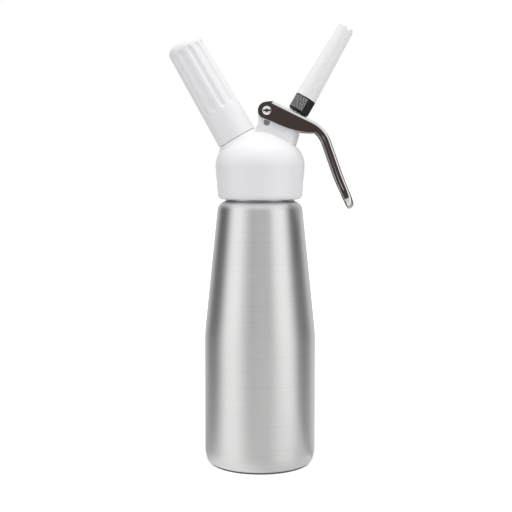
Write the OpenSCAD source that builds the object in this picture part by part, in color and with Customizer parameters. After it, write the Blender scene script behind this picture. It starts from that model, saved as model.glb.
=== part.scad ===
// Whipped cream dispenser: an aluminium bottle with a screw-on head that carries a gas charger in its
// holder, a lever valve and a decorating nozzle.
// Millimetres. Origin: centre of the base. +Z up, +X towards the lever and the nozzle.

/* [Bottle] */
// Outer radius of the straight lower body
body_r = 40; // [37:0.5:43]
// Wall thickness of the body
body_wall = 1.4; // [1:0.1:2]
// Thickness of the base
base_t = 2; // [1.5:0.1:4]
// Radius of the edge round the base
foot_fillet = 3; // [2.5:0.5:5]
// Height at which the taper begins
taper_z = 93.7; // [80:0.5:110]
// Radius of the blend between straight wall and taper
taper_blend = 100; // [40:5:160]
// Height of the shoulder
shoulder_z = 189.5; // [175:0.5:205]
// Radius that the taper reaches at the shoulder
shoulder_r = 30; // [29:0.25:32]
// Rounding of the shoulder
shoulder_round = 7; // [5:0.5:9]
// Outer radius of the threaded neck
neck_r = 24.7; // [23:0.1:25.5]
// Wall thickness of the neck
neck_wall = 2.5; // [2:0.1:3.5]
// Height of the neck above the shoulder
neck_h = 22.5; // [20:0.5:23]

/* [Head] */
// Gap between the bottle's shoulder and the head
head_gap = 1.2; // [0.8:0.1:3]
// Radius of the skirt at its lower edge
skirt_r = 30.3; // [29.5:0.1:32]
// Outward lean of the skirt, in degrees
skirt_lean = 3.9; // [1:0.1:6]
// Rounding of the skirt's lower edge
skirt_round = 3.5; // [1.5:0.5:3.5]
// Rounding between skirt and dome
dome_round = 18.5; // [14:0.5:19]
// Rounding of the dome's top
apex_round = 10; // [5:0.5:14]
// Tilt of the valve and of the charger holder from the vertical, in degrees
axis_tilt = 30; // [28:0.5:32]
// Height of the point where both tilted axes meet, above the head's lower edge
cross_rise = 15.3; // [14:0.1:16.5]
// Distance from that point to the dome, along either axis
dome_reach = 32.75; // [31:0.25:34]
// Wall thickness of the threaded metal insert in the skirt
insert_wall = 2.4; // [1.5:0.1:3]
// Step between the holder's mouth and the seat under it
seat_inset = 0.2; // [0.1:0.05:0.4]
// Thickness of the sealing ring between neck and head
head_seal_t = 2.5; // [2:0.1:3]
// Radial width of that sealing ring
head_seal_w = 4.2; // [3:0.1:5]

/* [Valve boss and ear] */
// Radius of the valve boss at its top
boss_r = 8.9; // [8.5:0.1:10]
// Height of the valve boss above the dome
boss_h = 8.65; // [8:0.25:9.5]
// Draft of the valve boss, in degrees
boss_draft = 13.4; // [5:0.1:15]
// Half width of the ear that carries the lever
ear_half = 8.9; // [8.5:0.1:9.5]
// Radius of the ear round the lever's pivot
ear_r = 6.05; // [5:0.05:6.2]
// How far the ear spreads at its foot
ear_flare = 2; // [0:0.25:3]
// Distance of the lever's pivot from the bottle's axis
pivot_x = 4.7; // [4:0.1:5.5]
// Height of the lever's pivot above the crossing of the axes
pivot_rise = 47.5; // [46.5:0.1:48.5]
// Radius of the dowel pin under the pivot
dowel_r = 2.4; // [1.5:0.1:2.6]
// Drop of the dowel pin below the pivot
dowel_drop = 8.3; // [8:0.1:9.5]

/* [Lever] */
// Sheet thickness of the lever
sheet = 1.5; // [1:0.1:1.8]
// Side gap between the lever's cheeks and the ear
lever_side_gap = 0.3; // [0.2:0.05:0.6]
// Downward slope of the lever's back, in degrees
web_tilt = 26; // [24:0.5:28]
// Distance from the pivot to the outer face of the lever's back
web_reach = 7.9; // [7.6:0.1:8.4]
// Where the back begins, along the lever from the pivot
web_start = 1.2; // [0:0.1:3]
// Length of the back, from the pivot to the bend
web_len = 43; // [41:0.5:46]
// Radius of each cheek round the pivot
cheek_r = 6.3; // [5.5:0.1:6.8]
// Depth of the cheeks beside the valve
cheek_depth = 13.5; // [12:0.25:14]
// Outer radius of the bend into the handle
bend_r = 26; // [18:1:30]
// Downward slope of the handle, in degrees
handle_tilt = 70.4; // [68:0.2:73]
// Length of the handle's upper part
handle_len = 37; // [32:0.5:42]
// Depth of the handle's channel
handle_depth = 5.8; // [4.5:0.1:7]
// Radius of the knee between the handle's upper part and its grip end
knee_r = 150; // [80:10:250]
// Downward slope of the grip end, in degrees
grip_tilt = 67; // [64:0.5:70]
// Length of the grip end
grip_len = 23.3; // [20:0.5:28]
// Rounding of the grip's end, seen from the front
grip_round = 8; // [4:0.5:9]
// Fall of the cheeks' edge towards the handle, along the lever
cheek_fall = 31; // [25:1:36]
// Plain length between the cheeks' end and the bend
cheek_stop = 3.6; // [2:0.2:6]
// Side gap between the stem and its slot in the lever's back
slot_gap = 0.45; // [0.3:0.05:0.8]
// Length that the swing adds to the slot, to each side
slot_play = 0.6; // [0.4:0.1:1]
// Thinning of the handle at the grip's end
grip_taper = 0.6; // [0:0.1:1]
// Rounding of the grip's end, seen from the side
tip_round = 3.6; // [2:0.1:4]
// Swing of the lever when pressed, in degrees
press_angle = 9; // [6:0.5:9]

/* [Pivot screw] */
// Radius of the pivot screw's shank
screw_r = 2; // [1.5:0.1:2.5]
// Radius of the screw's head
screw_head_r = 3.15; // [3:0.05:3.8]
// Height of the screw's head
screw_head_h = 1.5; // [1:0.1:2.5]
// Width of the screwdriver slot
slot_w = 1.1; // [0.6:0.1:1.4]
// Radius over the corners of the nut
nut_r = 3.7; // [3.5:0.1:4.5]
// Height of the nut
nut_h = 2.4; // [1.8:0.1:3.5]

/* [Valve] */
// Distance of the valve body's lower end inside the head's ceiling
valve_inset = 0.2; // [0.1:0.1:0.6]
// Outer radius of the valve body
valve_body_r = 6.8; // [6.5:0.1:7]
// Radius of the spring chamber
chamber_r = 5.9; // [5.7:0.1:6]
// Outer radius of the valve stem
stem_r = 4; // [3.6:0.1:4.1]
// Radius of the stem's bore
stem_bore_r = 2.2; // [1.6:0.1:2.6]
// Radius of the stem's presser disc under the lever
presser_r = 5.6; // [5.2:0.1:6.4]
// Thickness of the presser disc
presser_t = 2.6; // [1.5:0.1:3]
// Gap between the presser disc's rim and the lever's back
presser_gap = 0.2; // [0.1:0.05:0.4]
// Thickness of the seat gasket
seat_t = 2.3; // [1.8:0.1:3]
// How far the seat gasket stands out of the valve body
seat_proud = 0.3; // [0.1:0.1:0.5]
// Radius of the closing disc
poppet_r = 5.6; // [5:0.1:5.8]
// Thickness of the closing disc
poppet_t = 2.2; // [1.5:0.1:3]
// Length of the closing disc's spigot in the stem
spigot_h = 0.4; // [0.2:0.1:0.5]
// Radius of the cross holes in the stem
port_r = 0.9; // [0.6:0.1:1.1]
// Distance of the cross holes' edge from the stem's lower end
port_rise = 0.6; // [0.5:0.1:0.8]
// Height of the fitted spring
spring_h = 12.6; // [10:0.2:13.4]
// Wire radius of the spring
spring_wire_r = 0.35; // [0.25:0.05:0.4]
// Number of turns of the spring
spring_turns = 6; // [4:1:8]
// Thickness of the clip that carries the spring
clip_t = 0.8; // [0.6:0.1:1]
// Gap between that clip and the guide bush
clip_gap = 0.6; // [0.4:0.1:1]
// Length of the guide bush in the valve body
bush_len = 7.4; // [6:0.2:7.4]
// Thickness of the guide bush's flange
bush_flange_t = 1.2; // [0.8:0.1:1.6]
// Width of the flange's rim over the valve body
bush_rim = 0.7; // [0.4:0.1:1]
// Section radius of the stem's sealing ring
stem_seal_r = 0.6; // [0.4:0.05:0.65]

/* [Nozzle] */
// Outer radius of the collar and of the nozzle's foot
collar_r = 7.6; // [7.4:0.1:8.2]
// Length of the collar
collar_len = 12; // [11:0.5:14]
// Chamfer at the collar's lower edge
collar_chamfer = 1.2; // [0.4:0.1:1.6]
// Wall thickness of the collar round the nozzle's foot
collar_wall = 1.6; // [1.2:0.1:2]
// Length of the stem's thread in the collar
stem_thread_len = 5.8; // [5.5:0.1:6.5]
// Number of knurls round the collar
knurls = 36; // [24:2:48]
// Depth of the knurls
knurl_depth = 0.25; // [0.1:0.05:0.35]
// Length of the nozzle above the collar
nozzle_len = 57.4; // [50:0.5:65]
// Outer radius of the nozzle's tip
nozzle_tip_r = 5.8; // [5:0.1:6.2]
// Wall thickness of the nozzle
nozzle_wall = 1.2; // [0.8:0.1:1.5]
// Number of teeth round the tip
tip_teeth = 6; // [5:1:8]
// Depth of the notches between the teeth
notch_depth = 2.8; // [1.5:0.1:4]
// Width of the notches at the rim
notch_w = 4.2; // [2.5:0.1:4.5]
// Turn of the notches round the nozzle, in degrees
notch_turn = -75; // [-105:5:-45]
// Thickness of the seal between stem and nozzle
nozzle_seal_t = 1.4; // [1:0.1:2]

/* [Charger and its holder] */
// Radius of the gas charger
charger_r = 9; // [8.8:0.1:9.1]
// Length of the gas charger
charger_len = 65; // [63:0.5:67]
// Wall thickness of the gas charger
charger_wall = 1.6; // [1.2:0.1:2]
// Radial play of the charger in its sleeve
charger_play = 0.35; // [0.2:0.05:0.5]
// Rounding of the charger's shoulder
charger_round = 3; // [2:0.5:4]
// Flat width of the charger's end
charger_flat = 1; // [0.5:0.25:2]
// Radius of the charger's neck
charger_neck_r = 4.3; // [4:0.1:4.5]
// Length of the charger's neck
charger_neck_h = 8; // [6:0.5:10]
// Radius of the holder at its mouth
holder_r = 14.4; // [14:0.1:15.5]
// Radius of the holder near its end
holder_end_r = 13; // [12.1:0.1:13.5]
// Thickness of the holder's end
holder_end_t = 2.55; // [2:0.05:4]
// Rounding of the holder's end
holder_round = 5; // [2:0.25:5]
// Number of flutes round the holder
flutes = 12; // [8:1:14]
// Depth of the flutes
flute_depth = 1.1; // [0.6:0.1:1.2]
// Radius of the flutes' hollow
flute_r = 3; // [2:0.25:3.5]
// Turn of the flutes round the holder, in degrees
flute_turn = -78.5; // [-110:0.5:-70]
// Length of the flutes between the middles of their round ends
flute_len = 44.3; // [35:0.1:45]
// Plain band between the mouth and the flutes
holder_band = 23; // [18:1:25]
// Gap between the holder's mouth and the head
seam_gap = 0.3; // [0.2:0.05:0.6]
// Wall thickness of the metal sleeve in the holder
sleeve_wall = 0.85; // [0.6:0.05:0.9]
// Height of the threaded stub above the dome
stub_h = 10.65; // [10:0.25:12]
// Depth of the stub in the head
stub_seat = 8.75; // [6:0.25:9]
// Depth of the socket in the stub's end
socket_depth = 2.6; // [2.4:0.1:3]
// Radius of the socket in the stub's end
socket_r = 4.95; // [4.8:0.05:5.2]
// Radius of the piercing pin
pin_r = 1; // [0.8:0.05:1.1]
// Radius of the pin's bore
pin_bore_r = 0.4; // [0.3:0.05:0.5]
// Length of the piercing pin beyond its screw
pin_reach = 5.9; // [4.5:0.1:6]
// Radius of the piercing pin's screw
pin_screw_r = 3.2; // [2.8:0.1:3.6]
// Length of the piercing pin's screw
pin_screw_len = 9; // [6:0.5:9]
// Thickness of the piercing pin screw's head
pin_flange_t = 0.8; // [0.6:0.1:1]
// Thickness of the ring that seals the charger's neck
charger_seal_t = 1.6; // [1.2:0.1:2]
// Radius of the gas passage
gas_r = 1.5; // [1:0.1:1.8]
// Radius of the one-way valve
check_r = 3; // [2.5:0.1:3.5]
// Height of the one-way valve
check_h = 4.2; // [3:0.1:5]

/* [Fits] */
// Gap of pieces that are pressed or screwed together for good
fixed_gap = 0.05; // [0.03:0.01:0.08]
// Gap of a running fit
run_gap = 0.05; // [0.03:0.01:0.08]
// Gap between pieces that move apart
free_gap = 0.3; // [0.2:0.05:0.4]

/* [Hidden] */
$fn = 64;
over = 1;

// Heights on the bottle's axis
rim_z = shoulder_z + neck_h;
head_z = shoulder_z + head_gap;
ceiling_z = rim_z + head_seal_t;
cross_z = head_z + cross_rise;
pivot_z = cross_z + pivot_rise;
neck_bore_r = neck_r - neck_wall;
insert_r = neck_r + free_gap;
insert_outer_r = insert_r + insert_wall;

// The dome is a cone square to both tilted axes, rounded into the skirt and at its top
skirt_slope = tan(skirt_lean);
corner_z = (dome_reach - (skirt_r - skirt_slope * head_z) * sin(axis_tilt) + cross_z * cos(axis_tilt))
    / (skirt_slope * sin(axis_tilt) + cos(axis_tilt));
corner_r = skirt_r + skirt_slope * (corner_z - head_z);
apex_centre_z = cross_z + (dome_reach - apex_round) / cos(axis_tilt);

// Places along the valve's axis, from the crossing of the axes
boss_top = dome_reach + boss_h;
valve_end = (ceiling_z - cross_z) / cos(axis_tilt) + valve_inset;
seat_face = valve_end - seat_proud;
seat_top = seat_face + seat_t;
poppet_top = seat_face - fixed_gap;
bush_base = boss_top - bush_len;
clip_base = bush_base - clip_gap - clip_t;
ledge = clip_base - spring_h;
bush_top = boss_top + bush_flange_t;
seal_centre = (bush_base + boss_top) / 2;
// The lever's back is out of square with the valve by these angles, at rest and pressed
back_skew = max(abs(axis_tilt - web_tilt), abs(web_tilt + press_angle - axis_tilt));
presser_top = back_crossing(sheet) - presser_r * tan(back_skew) - presser_gap;
collar_base = back_crossing(0) + (collar_r - collar_chamfer) * tan(back_skew) + free_gap;
collar_top = collar_base + collar_len;
stem_top = collar_base + stem_thread_len;
nozzle_foot = stem_top + nozzle_seal_t;
nozzle_tip = collar_top + nozzle_len;
nozzle_root_r = collar_r - collar_wall;
stem_thread_r = stem_r + free_gap;

// Places along the holder's axis, from the crossing of the axes
mouth = dome_reach + seam_gap;
stub_base = dome_reach - stub_seat;
stub_top = dome_reach + stub_h;
socket_base = stub_top - socket_depth;
charger_base = socket_base + pin_flange_t + charger_seal_t;
charger_end = charger_base + charger_len;
chamber_end = charger_end + free_gap;
holder_end = chamber_end + holder_end_t;
sleeve_r = charger_r + charger_play;
sleeve_outer_r = sleeve_r + sleeve_wall;
stub_r = sleeve_r - free_gap;
flute_base = mouth + holder_band + sqrt(2 * flute_r * flute_depth - pow(flute_depth, 2));
pin_end = socket_base + pin_flange_t + pin_reach;
// The gas passage drops straight from the stub's lower end to the head's ceiling
gas_x = -stub_base * sin(axis_tilt);
gas_top_z = cross_z + stub_base * cos(axis_tilt);

// The lever across its width
cheek_inner = ear_half + lever_side_gap;
cheek_outer = cheek_inner + sheet;
pivot = [pivot_x, pivot_z];
bend = web_point(web_len, 0);
knee = bend + handle_len * slope(handle_tilt);

// Direction of a line that falls at an angle
function slope(a) = [cos(a), -sin(a)];

// Inward normal of that line, towards the bottle
function inward(a) = [-sin(a), -cos(a)];

// Point of the lever's side view: along its back from the pivot, and inward from the back's face
function web_point(s, depth) = pivot + s * slope(web_tilt) + (depth - web_reach) * inward(web_tilt);

// Point of the grip's side view: along the grip from the knee, and inward from its outer face
function grip_point(s, depth) = knee + s * slope(grip_tilt) + depth * inward(grip_tilt);

// Corner of the lever's side view where two lines meet, moved inward by a depth
function inner_corner(p, a, b, depth) = p + depth * (inward(a) + inward(b)) / (1 + cos(b - a));

// Where the lever's back, at a depth in its sheet, crosses the valve's axis
function back_crossing(depth) =
    (web_reach - depth + pivot_x * sin(web_tilt) + pivot_rise * cos(web_tilt))
    / cos(axis_tilt - web_tilt);

// How far along its back the lever meets the stem, half way through the swing
function stem_place() =
    let (a = web_tilt + press_angle / 2,
        t = (web_reach + pivot_x * sin(a) + pivot_rise * cos(a)) / cos(axis_tilt - a))
    (t * sin(axis_tilt) - pivot_x) * cos(a) - (t * cos(axis_tilt) - pivot_rise) * sin(a);

function unit(v) = v / norm(v);

// Direct angle from a to b, between -180 and 180 degrees
function turn(a, b) = (b - a) - 360 * round((b - a) / 360);

function arc(centre, r, a, sweep, steps) =
    [for (i = [0 : steps]) centre + r * [cos(a + sweep * i / steps), sin(a + sweep * i / steps)]];

// Arc of radius r that rounds the corner at p between its neighbours a and b
function corner(a, p, b, r, steps) =
    let (u = unit(a - p), v = unit(b - p), half = acos(u * v) / 2, centre = p + unit(u + v) * r / sin(half),
        from = p + u * r / tan(half) - centre, to = p + v * r / tan(half) - centre,
        start = atan2(from.y, from.x))
    arc(centre, r, start, turn(start, atan2(to.y, to.x)), steps);

// Outline through corners [x, y, radius], each rounded by its radius
function rounded(c, steps = 8) =
    [for (i = [0 : len(c) - 1])
        let (n = len(c), a = c[(i + n - 1) % n], p = c[i], b = c[(i + 1) % n])
        each (p[2] > 0 ? corner([a.x, a.y], [p.x, p.y], [b.x, b.y], p[2], steps) : [[p.x, p.y]])];

function with_radius(p, r) = [p.x, p.y, r];

// Cubic curve through p and s, drawn towards q and r
function curve(p, q, r, s, steps) =
    [for (i = [0 : steps]) let (t = i / steps, k = 1 - t)
        k * k * k * p + 3 * k * k * t * q + 3 * k * t * t * r + t * t * t * s];

// Radius of the holder at a place along its axis
function holder_radius(t) = holder_r + (holder_end_r - holder_r) * (t - mouth) / (holder_end - mouth);

module on_valve_axis() {
    translate([0, 0, cross_z]) rotate([0, axis_tilt, 0]) children();
}

module on_holder_axis() {
    translate([0, 0, cross_z]) rotate([0, -axis_tilt, 0]) children();
}

module rod(from, to, r) {
    translate([0, 0, from]) cylinder(h = to - from, r = r);
}

module tube(from, to, r_in, r_out) {
    difference() {
        rod(from, to, r_out);
        rod(from - over, to + over, r_in);
    }
}

// Extrudes an XZ outline across Y, about the middle plane
module across(width) {
    rotate([90, 0, 0]) linear_extrude(height = width, center = true) children();
}

// Rod across Y through a point of the XZ plane
module cross_rod(p, from, to, r) {
    translate([p.x, to, p.y]) rotate([90, 0, 0]) cylinder(h = to - from, r = r);
}

module bottle_shell(wall, floor_z) {
    rotate_extrude() polygon(rounded([
        [0, floor_z, 0],
        [body_r - wall, floor_z, foot_fillet - wall],
        [body_r - wall, taper_z, taper_blend],
        [shoulder_r - wall, shoulder_z - wall, shoulder_round - wall],
        [0, shoulder_z - wall, 0]]));
}

module bottle() {
    color([0.78, 0.78, 0.77]) difference() {
        union() {
            bottle_shell(0, 0);
            rod(shoulder_z - shoulder_round / 2, rim_z, neck_r);
        }
        bottle_shell(body_wall, base_t);
        rod(shoulder_z - shoulder_round, rim_z + over, neck_bore_r);
    }
}

module head_gasket() {
    color([0.85, 0.85, 0.83]) tube(rim_z, ceiling_z, neck_r - head_seal_w, neck_r);
}

// Ear under the lever, seen from the side, spreading at its foot into the dome
module ear_outline() {
    boss_edge = [boss_top * sin(axis_tilt) - boss_r * cos(axis_tilt),
        cross_z + boss_top * cos(axis_tilt) + boss_r * sin(axis_tilt)];
    reach = boss_edge - pivot;
    touch = atan2(reach.y, reach.x) + acos(ear_r / norm(reach));
    ear_left = pivot_x - ear_r;
    foot_z = apex_centre_z;
    translate(pivot) circle(r = ear_r);
    polygon([
        [ear_left, pivot_z],
        [ear_left, pivot_z - ear_r - ear_flare],
        [ear_left - ear_flare, foot_z + apex_round - ear_flare],
        [ear_left - ear_flare, foot_z],
        [dome_reach * sin(axis_tilt) - ear_flare, foot_z],
        [boss_top * sin(axis_tilt), cross_z + boss_top * cos(axis_tilt)],
        boss_edge,
        pivot + ear_r * [cos(touch), sin(touch)]]);
}

module dome() {
    rotate_extrude() polygon(concat(
        rounded([
            [0, head_z, 0],
            [skirt_r, head_z, skirt_round],
            [corner_r, corner_z, dome_round],
            [apex_round * sin(axis_tilt), apex_centre_z + apex_round * cos(axis_tilt), 0]]),
        arc([0, apex_centre_z], apex_round, 90 - axis_tilt, axis_tilt, 6)));
}

// Valve boss and ear, with flat sides that fit between the lever's cheeks
module boss_and_ear() {
    boss_root = dome_reach / 2;
    intersection() {
        union() {
            on_valve_axis() translate([0, 0, boss_root]) cylinder(h = boss_top - boss_root,
                r1 = boss_r + (boss_top - boss_root) * tan(boss_draft), r2 = boss_r);
            across(3 * ear_half) ear_outline();
        }
        translate([0, 0, cross_z]) cube([4 * body_r, 2 * ear_half, 4 * boss_top], center = true);
    }
}

module head_housing() {
    color([0.94, 0.94, 0.95]) difference() {
        union() {
            dome();
            boss_and_ear();
            on_holder_axis() rod(dome_reach / 2, dome_reach, holder_r - seat_inset);
        }
        rod(head_z - over, ceiling_z, insert_outer_r + fixed_gap);
        on_valve_axis() rod(0, boss_top + over, valve_body_r + fixed_gap);
        on_holder_axis() rod(stub_base, dome_reach + over, stub_r + fixed_gap);
        translate([gas_x, 0, 0]) rod(ceiling_z - over, gas_top_z, gas_r);
        translate([gas_x, 0, 0]) rod(ceiling_z - over, ceiling_z + check_h, check_r + fixed_gap);
        cross_rod(pivot, -ear_half - over, ear_half + over, screw_r + fixed_gap);
        cross_rod([pivot_x, pivot_z - dowel_drop], -ear_half - over, ear_half + over, dowel_r + fixed_gap);
    }
}

module thread_insert() {
    color([0.72, 0.72, 0.72]) tube(head_z + head_gap / 2, ceiling_z, insert_r, insert_outer_r);
}

module charger_stub() {
    color([0.8, 0.8, 0.78]) on_holder_axis() difference() {
        rod(stub_base, stub_top, stub_r);
        rod(socket_base, stub_top + over, socket_r + fixed_gap);
        rod(socket_base - pin_screw_len, stub_top, pin_screw_r + fixed_gap);
        rod(stub_base - over, stub_top, gas_r);
    }
}

module piercing_pin_screw() {
    color([0.83, 0.7, 0.42]) on_holder_axis() difference() {
        union() {
            rod(socket_base - pin_screw_len, socket_base, pin_screw_r);
            rod(socket_base, socket_base + pin_flange_t, socket_r);
        }
        rod(socket_base - pin_screw_len - over, stub_top, pin_r + fixed_gap);
    }
}

module piercing_pin() {
    tip = 1.5 * pin_r;
    color([0.75, 0.75, 0.77]) on_holder_axis() difference() {
        union() {
            rod(socket_base - pin_screw_len, pin_end - tip, pin_r);
            translate([0, 0, pin_end - tip]) cylinder(h = tip, r1 = pin_r, r2 = pin_r / 2);
        }
        rod(socket_base - pin_screw_len - over, pin_end + over, pin_bore_r);
    }
}

module charger_seal() {
    color([0.2, 0.2, 0.2]) on_holder_axis()
        tube(socket_base + pin_flange_t, charger_base, pin_r + free_gap, socket_r);
}

module check_valve() {
    color([0.75, 0.3, 0.25]) translate([gas_x, 0, 0]) difference() {
        rod(ceiling_z, ceiling_z + check_h, check_r);
        rod(ceiling_z + check_h / 4, ceiling_z + check_h + over, gas_r / 2);
    }
}

module charger_holder() {
    lean = atan((holder_r - holder_end_r) / (holder_end - mouth));
    color([0.93, 0.93, 0.94]) on_holder_axis() difference() {
        rotate_extrude() polygon(rounded([
            [0, mouth, 0],
            [holder_r, mouth, 0],
            [holder_end_r, holder_end - 1, holder_round],
            [0, holder_end, 0]]));
        rod(mouth - over, chamber_end, sleeve_outer_r + fixed_gap);
        for (i = [0 : flutes - 1]) rotate([0, 0, flute_turn + i * 360 / flutes])
            translate([holder_radius(flute_base) + flute_r - flute_depth, 0, flute_base])
                rotate([0, -lean, 0]) {
                    cylinder(h = flute_len, r = flute_r);
                    sphere(r = flute_r);
                    translate([0, 0, flute_len]) sphere(r = flute_r);
                }
    }
}

module holder_sleeve() {
    color([0.75, 0.75, 0.75]) on_holder_axis()
        tube(mouth + free_gap, chamber_end - fixed_gap, sleeve_r, sleeve_outer_r);
}

// Outline of the gas charger or of the space in it, drawn in by a wall
module charger_outline(wall) {
    neck_end = charger_base + charger_neck_h;
    shoulder = neck_end + charger_r - charger_neck_r;
    polygon(rounded([
        [0, charger_base + wall, 0],
        [charger_neck_r - wall, charger_base + wall, 0],
        [charger_neck_r - wall, neck_end + wall / 2, 0],
        [charger_r - wall, shoulder + wall / 2, charger_round],
        [charger_r - wall, charger_end - wall, charger_r - wall - charger_flat],
        [0, charger_end - wall, 0]]));
}

module gas_charger() {
    color([0.66, 0.67, 0.69]) on_holder_axis() difference() {
        rotate_extrude() charger_outline(0);
        rotate_extrude() charger_outline(charger_wall);
        rod(charger_base - over, charger_base + charger_wall + over, pin_r + free_gap);
    }
}

module valve_body() {
    color([0.8, 0.68, 0.4]) on_valve_axis() difference() {
        rod(valve_end, boss_top, valve_body_r);
        rod(ledge, boss_top + over, chamber_r);
        rod(valve_end - over, boss_top, stem_r + free_gap);
        rod(valve_end - over, seat_top, chamber_r);
    }
}

module valve_guide_bush() {
    color([0.85, 0.72, 0.42]) on_valve_axis() difference() {
        union() {
            rod(bush_base, boss_top, chamber_r - fixed_gap);
            rod(boss_top, bush_top, valve_body_r + bush_rim);
        }
        rod(bush_base - over, bush_top + over, stem_r + run_gap);
        rod(seal_centre - stem_seal_r - run_gap, seal_centre + stem_seal_r + run_gap,
            stem_r + 2 * stem_seal_r + 2 * run_gap);
    }
}

module stem_seal() {
    color([0.1, 0.1, 0.1]) on_valve_axis() translate([0, 0, seal_centre])
        rotate_extrude() translate([stem_r + run_gap + stem_seal_r, 0]) circle(r = stem_seal_r, $fn = 24);
}

module valve_seat_gasket() {
    color([0.15, 0.15, 0.15]) on_valve_axis()
        tube(seat_face, seat_top, stem_r + free_gap, chamber_r - fixed_gap);
}

module valve_stem() {
    color([0.88, 0.88, 0.87]) on_valve_axis() difference() {
        union() {
            rod(poppet_top, stem_top, stem_r);
            rod(presser_top - presser_t, presser_top, presser_r);
        }
        rod(poppet_top - over, stem_top + over, stem_bore_r);
        for (side = [0, 90]) translate([0, 0, poppet_top + port_r + port_rise]) rotate([90, 0, side])
            cylinder(h = 3 * stem_r, r = port_r, center = true);
    }
}

module valve_poppet() {
    color([0.6, 0.6, 0.62]) on_valve_axis() {
        rod(poppet_top - poppet_t, poppet_top, poppet_r);
        rod(poppet_top - poppet_t / 2, poppet_top + spigot_h, stem_bore_r - fixed_gap);
    }
}

// Compression spring: one unbroken wire swept along a helix, with its end turns closed flat
module valve_spring() {
    sides = 6;
    steps = 8;
    rings = spring_turns * steps;
    coil_r = (stem_r + chamber_r) / 2;
    low = ledge + spring_wire_r;
    rise = spring_h - 2 * spring_wire_r;
    // Share of the wire in each closed end turn, and that turn's rise
    closed = 0.9 / spring_turns;
    closed_rise = 2.6 * spring_wire_r;
    climb = function (k) let (f = k / rings)
        f < closed ? f / closed * closed_rise
        : f > 1 - closed ? rise - (1 - f) / closed * closed_rise
        : closed_rise + (rise - 2 * closed_rise) * (f - closed) / (1 - 2 * closed);
    points = [for (k = [0 : rings], i = [0 : sides - 1])
        let (a = 360 * k / steps, b = 360 * i / sides, r = coil_r + spring_wire_r * cos(b))
        [r * cos(a), r * sin(a), low + climb(k) + spring_wire_r * sin(b)]];
    faces = concat(
        [[for (i = [0 : sides - 1]) i]],
        [[for (i = [sides - 1 : -1 : 0]) rings * sides + i]],
        [for (k = [0 : rings - 1], i = [0 : sides - 1]) let (a = k * sides, j = (i + 1) % sides)
            each [[a + i, a + sides + j, a + j], [a + i, a + sides + i, a + sides + j]]]);
    turn_gap = min([for (k = [0 : rings - steps]) climb(k + steps) - climb(k)]) - 2 * spring_wire_r;
    echo(least_gap_between_spring_turns = turn_gap);
    color([0.7, 0.7, 0.72]) on_valve_axis() polyhedron(points, faces);
}

module spring_clip() {
    color([0.6, 0.6, 0.62]) on_valve_axis()
        tube(clip_base, clip_base + clip_t, stem_r + fixed_gap, chamber_r - free_gap);
}

// Side view of the lever's back and handle, a band of even depth
module band_outline() {
    tip_depth = handle_depth - grip_taper;
    polygon(rounded([
        with_radius(web_point(web_start, 0), 0),
        with_radius(bend, bend_r),
        with_radius(knee, knee_r),
        with_radius(grip_point(grip_len, 0), tip_round),
        with_radius(grip_point(grip_len, tip_depth), sheet),
        with_radius(grip_point(grip_len / 2, handle_depth), 0),
        with_radius(inner_corner(knee, handle_tilt, grip_tilt, handle_depth), knee_r),
        with_radius(inner_corner(bend, web_tilt, handle_tilt, handle_depth), bend_r - handle_depth),
        with_radius(web_point(web_start, handle_depth), 0)]));
}

// Side view of the deeper cheeks round the pivot and beside the valve
module cheek_outline() {
    cheek_end = web_len - cheek_stop;
    polygon(concat(
        arc(pivot, cheek_r, 90, 180 - web_tilt, 16),
        curve(web_point(cheek_end - cheek_fall, cheek_depth),
            web_point(cheek_end - cheek_fall / 2, cheek_depth),
            web_point(cheek_end - cheek_fall / 5, (cheek_depth + handle_depth) / 2),
            web_point(cheek_end, handle_depth), 8),
        [web_point(web_len / 2, 0), web_point(web_start, 0)]));
}

// Side view of the channel between the lever's cheeks
module channel_outline() {
    polygon(rounded([
        with_radius(web_point(-3 * cheek_r, -2 * sheet), 0),
        with_radius(web_point(web_start, -2 * sheet), 0),
        with_radius(web_point(web_start, sheet), 0),
        with_radius(inner_corner(bend, web_tilt, handle_tilt, sheet), bend_r - sheet),
        with_radius(inner_corner(knee, handle_tilt, grip_tilt, sheet), knee_r),
        with_radius(grip_point(grip_len - sheet, sheet), sheet),
        with_radius(grip_point(grip_len - sheet, 3 * handle_depth), 0),
        with_radius(web_point(-3 * cheek_r, 4 * cheek_r), 0)]));
}

// Front view of the lever, with the rounded end of its grip
module grip_front(inset) {
    half = cheek_outer - inset;
    low = grip_point(grip_len, handle_depth / 2).y + inset;
    polygon(rounded([
        [-half, pivot_z + 2 * web_reach, 0],
        [-half, low, grip_round - inset],
        [half, low, grip_round - inset],
        [half, pivot_z + 2 * web_reach, 0]]));
}

// Solid of the lever's side view within its front view
module lever_block(inset) {
    intersection() {
        across(2 * (cheek_outer - inset)) children();
        rotate([90, 0, 90]) linear_extrude(height = 8 * body_r, center = true) grip_front(inset);
    }
}

module lever() {
    color([0.5, 0.48, 0.47]) difference() {
        union() {
            lever_block(0) band_outline();
            lever_block(0) cheek_outline();
        }
        lever_block(sheet) channel_outline();
        cross_rod(pivot, -cheek_outer - over, cheek_outer + over, screw_r + run_gap);
        // Slot for the stem, long enough for the swing
        for (s = [-slot_play, slot_play])
            slot_post(s) cylinder(h = 4 * sheet, r = stem_r + slot_gap, center = true);
        slot_post(0) cube([2 * slot_play, 2 * (stem_r + slot_gap), 4 * sheet], center = true);
    }
}

// Place in the lever's back round the stem, moved along the back by s
module slot_post(s) {
    place = web_point(stem_place() + s, sheet / 2);
    translate([place.x, 0, place.y]) rotate([0, web_tilt, 0]) children();
}

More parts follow.
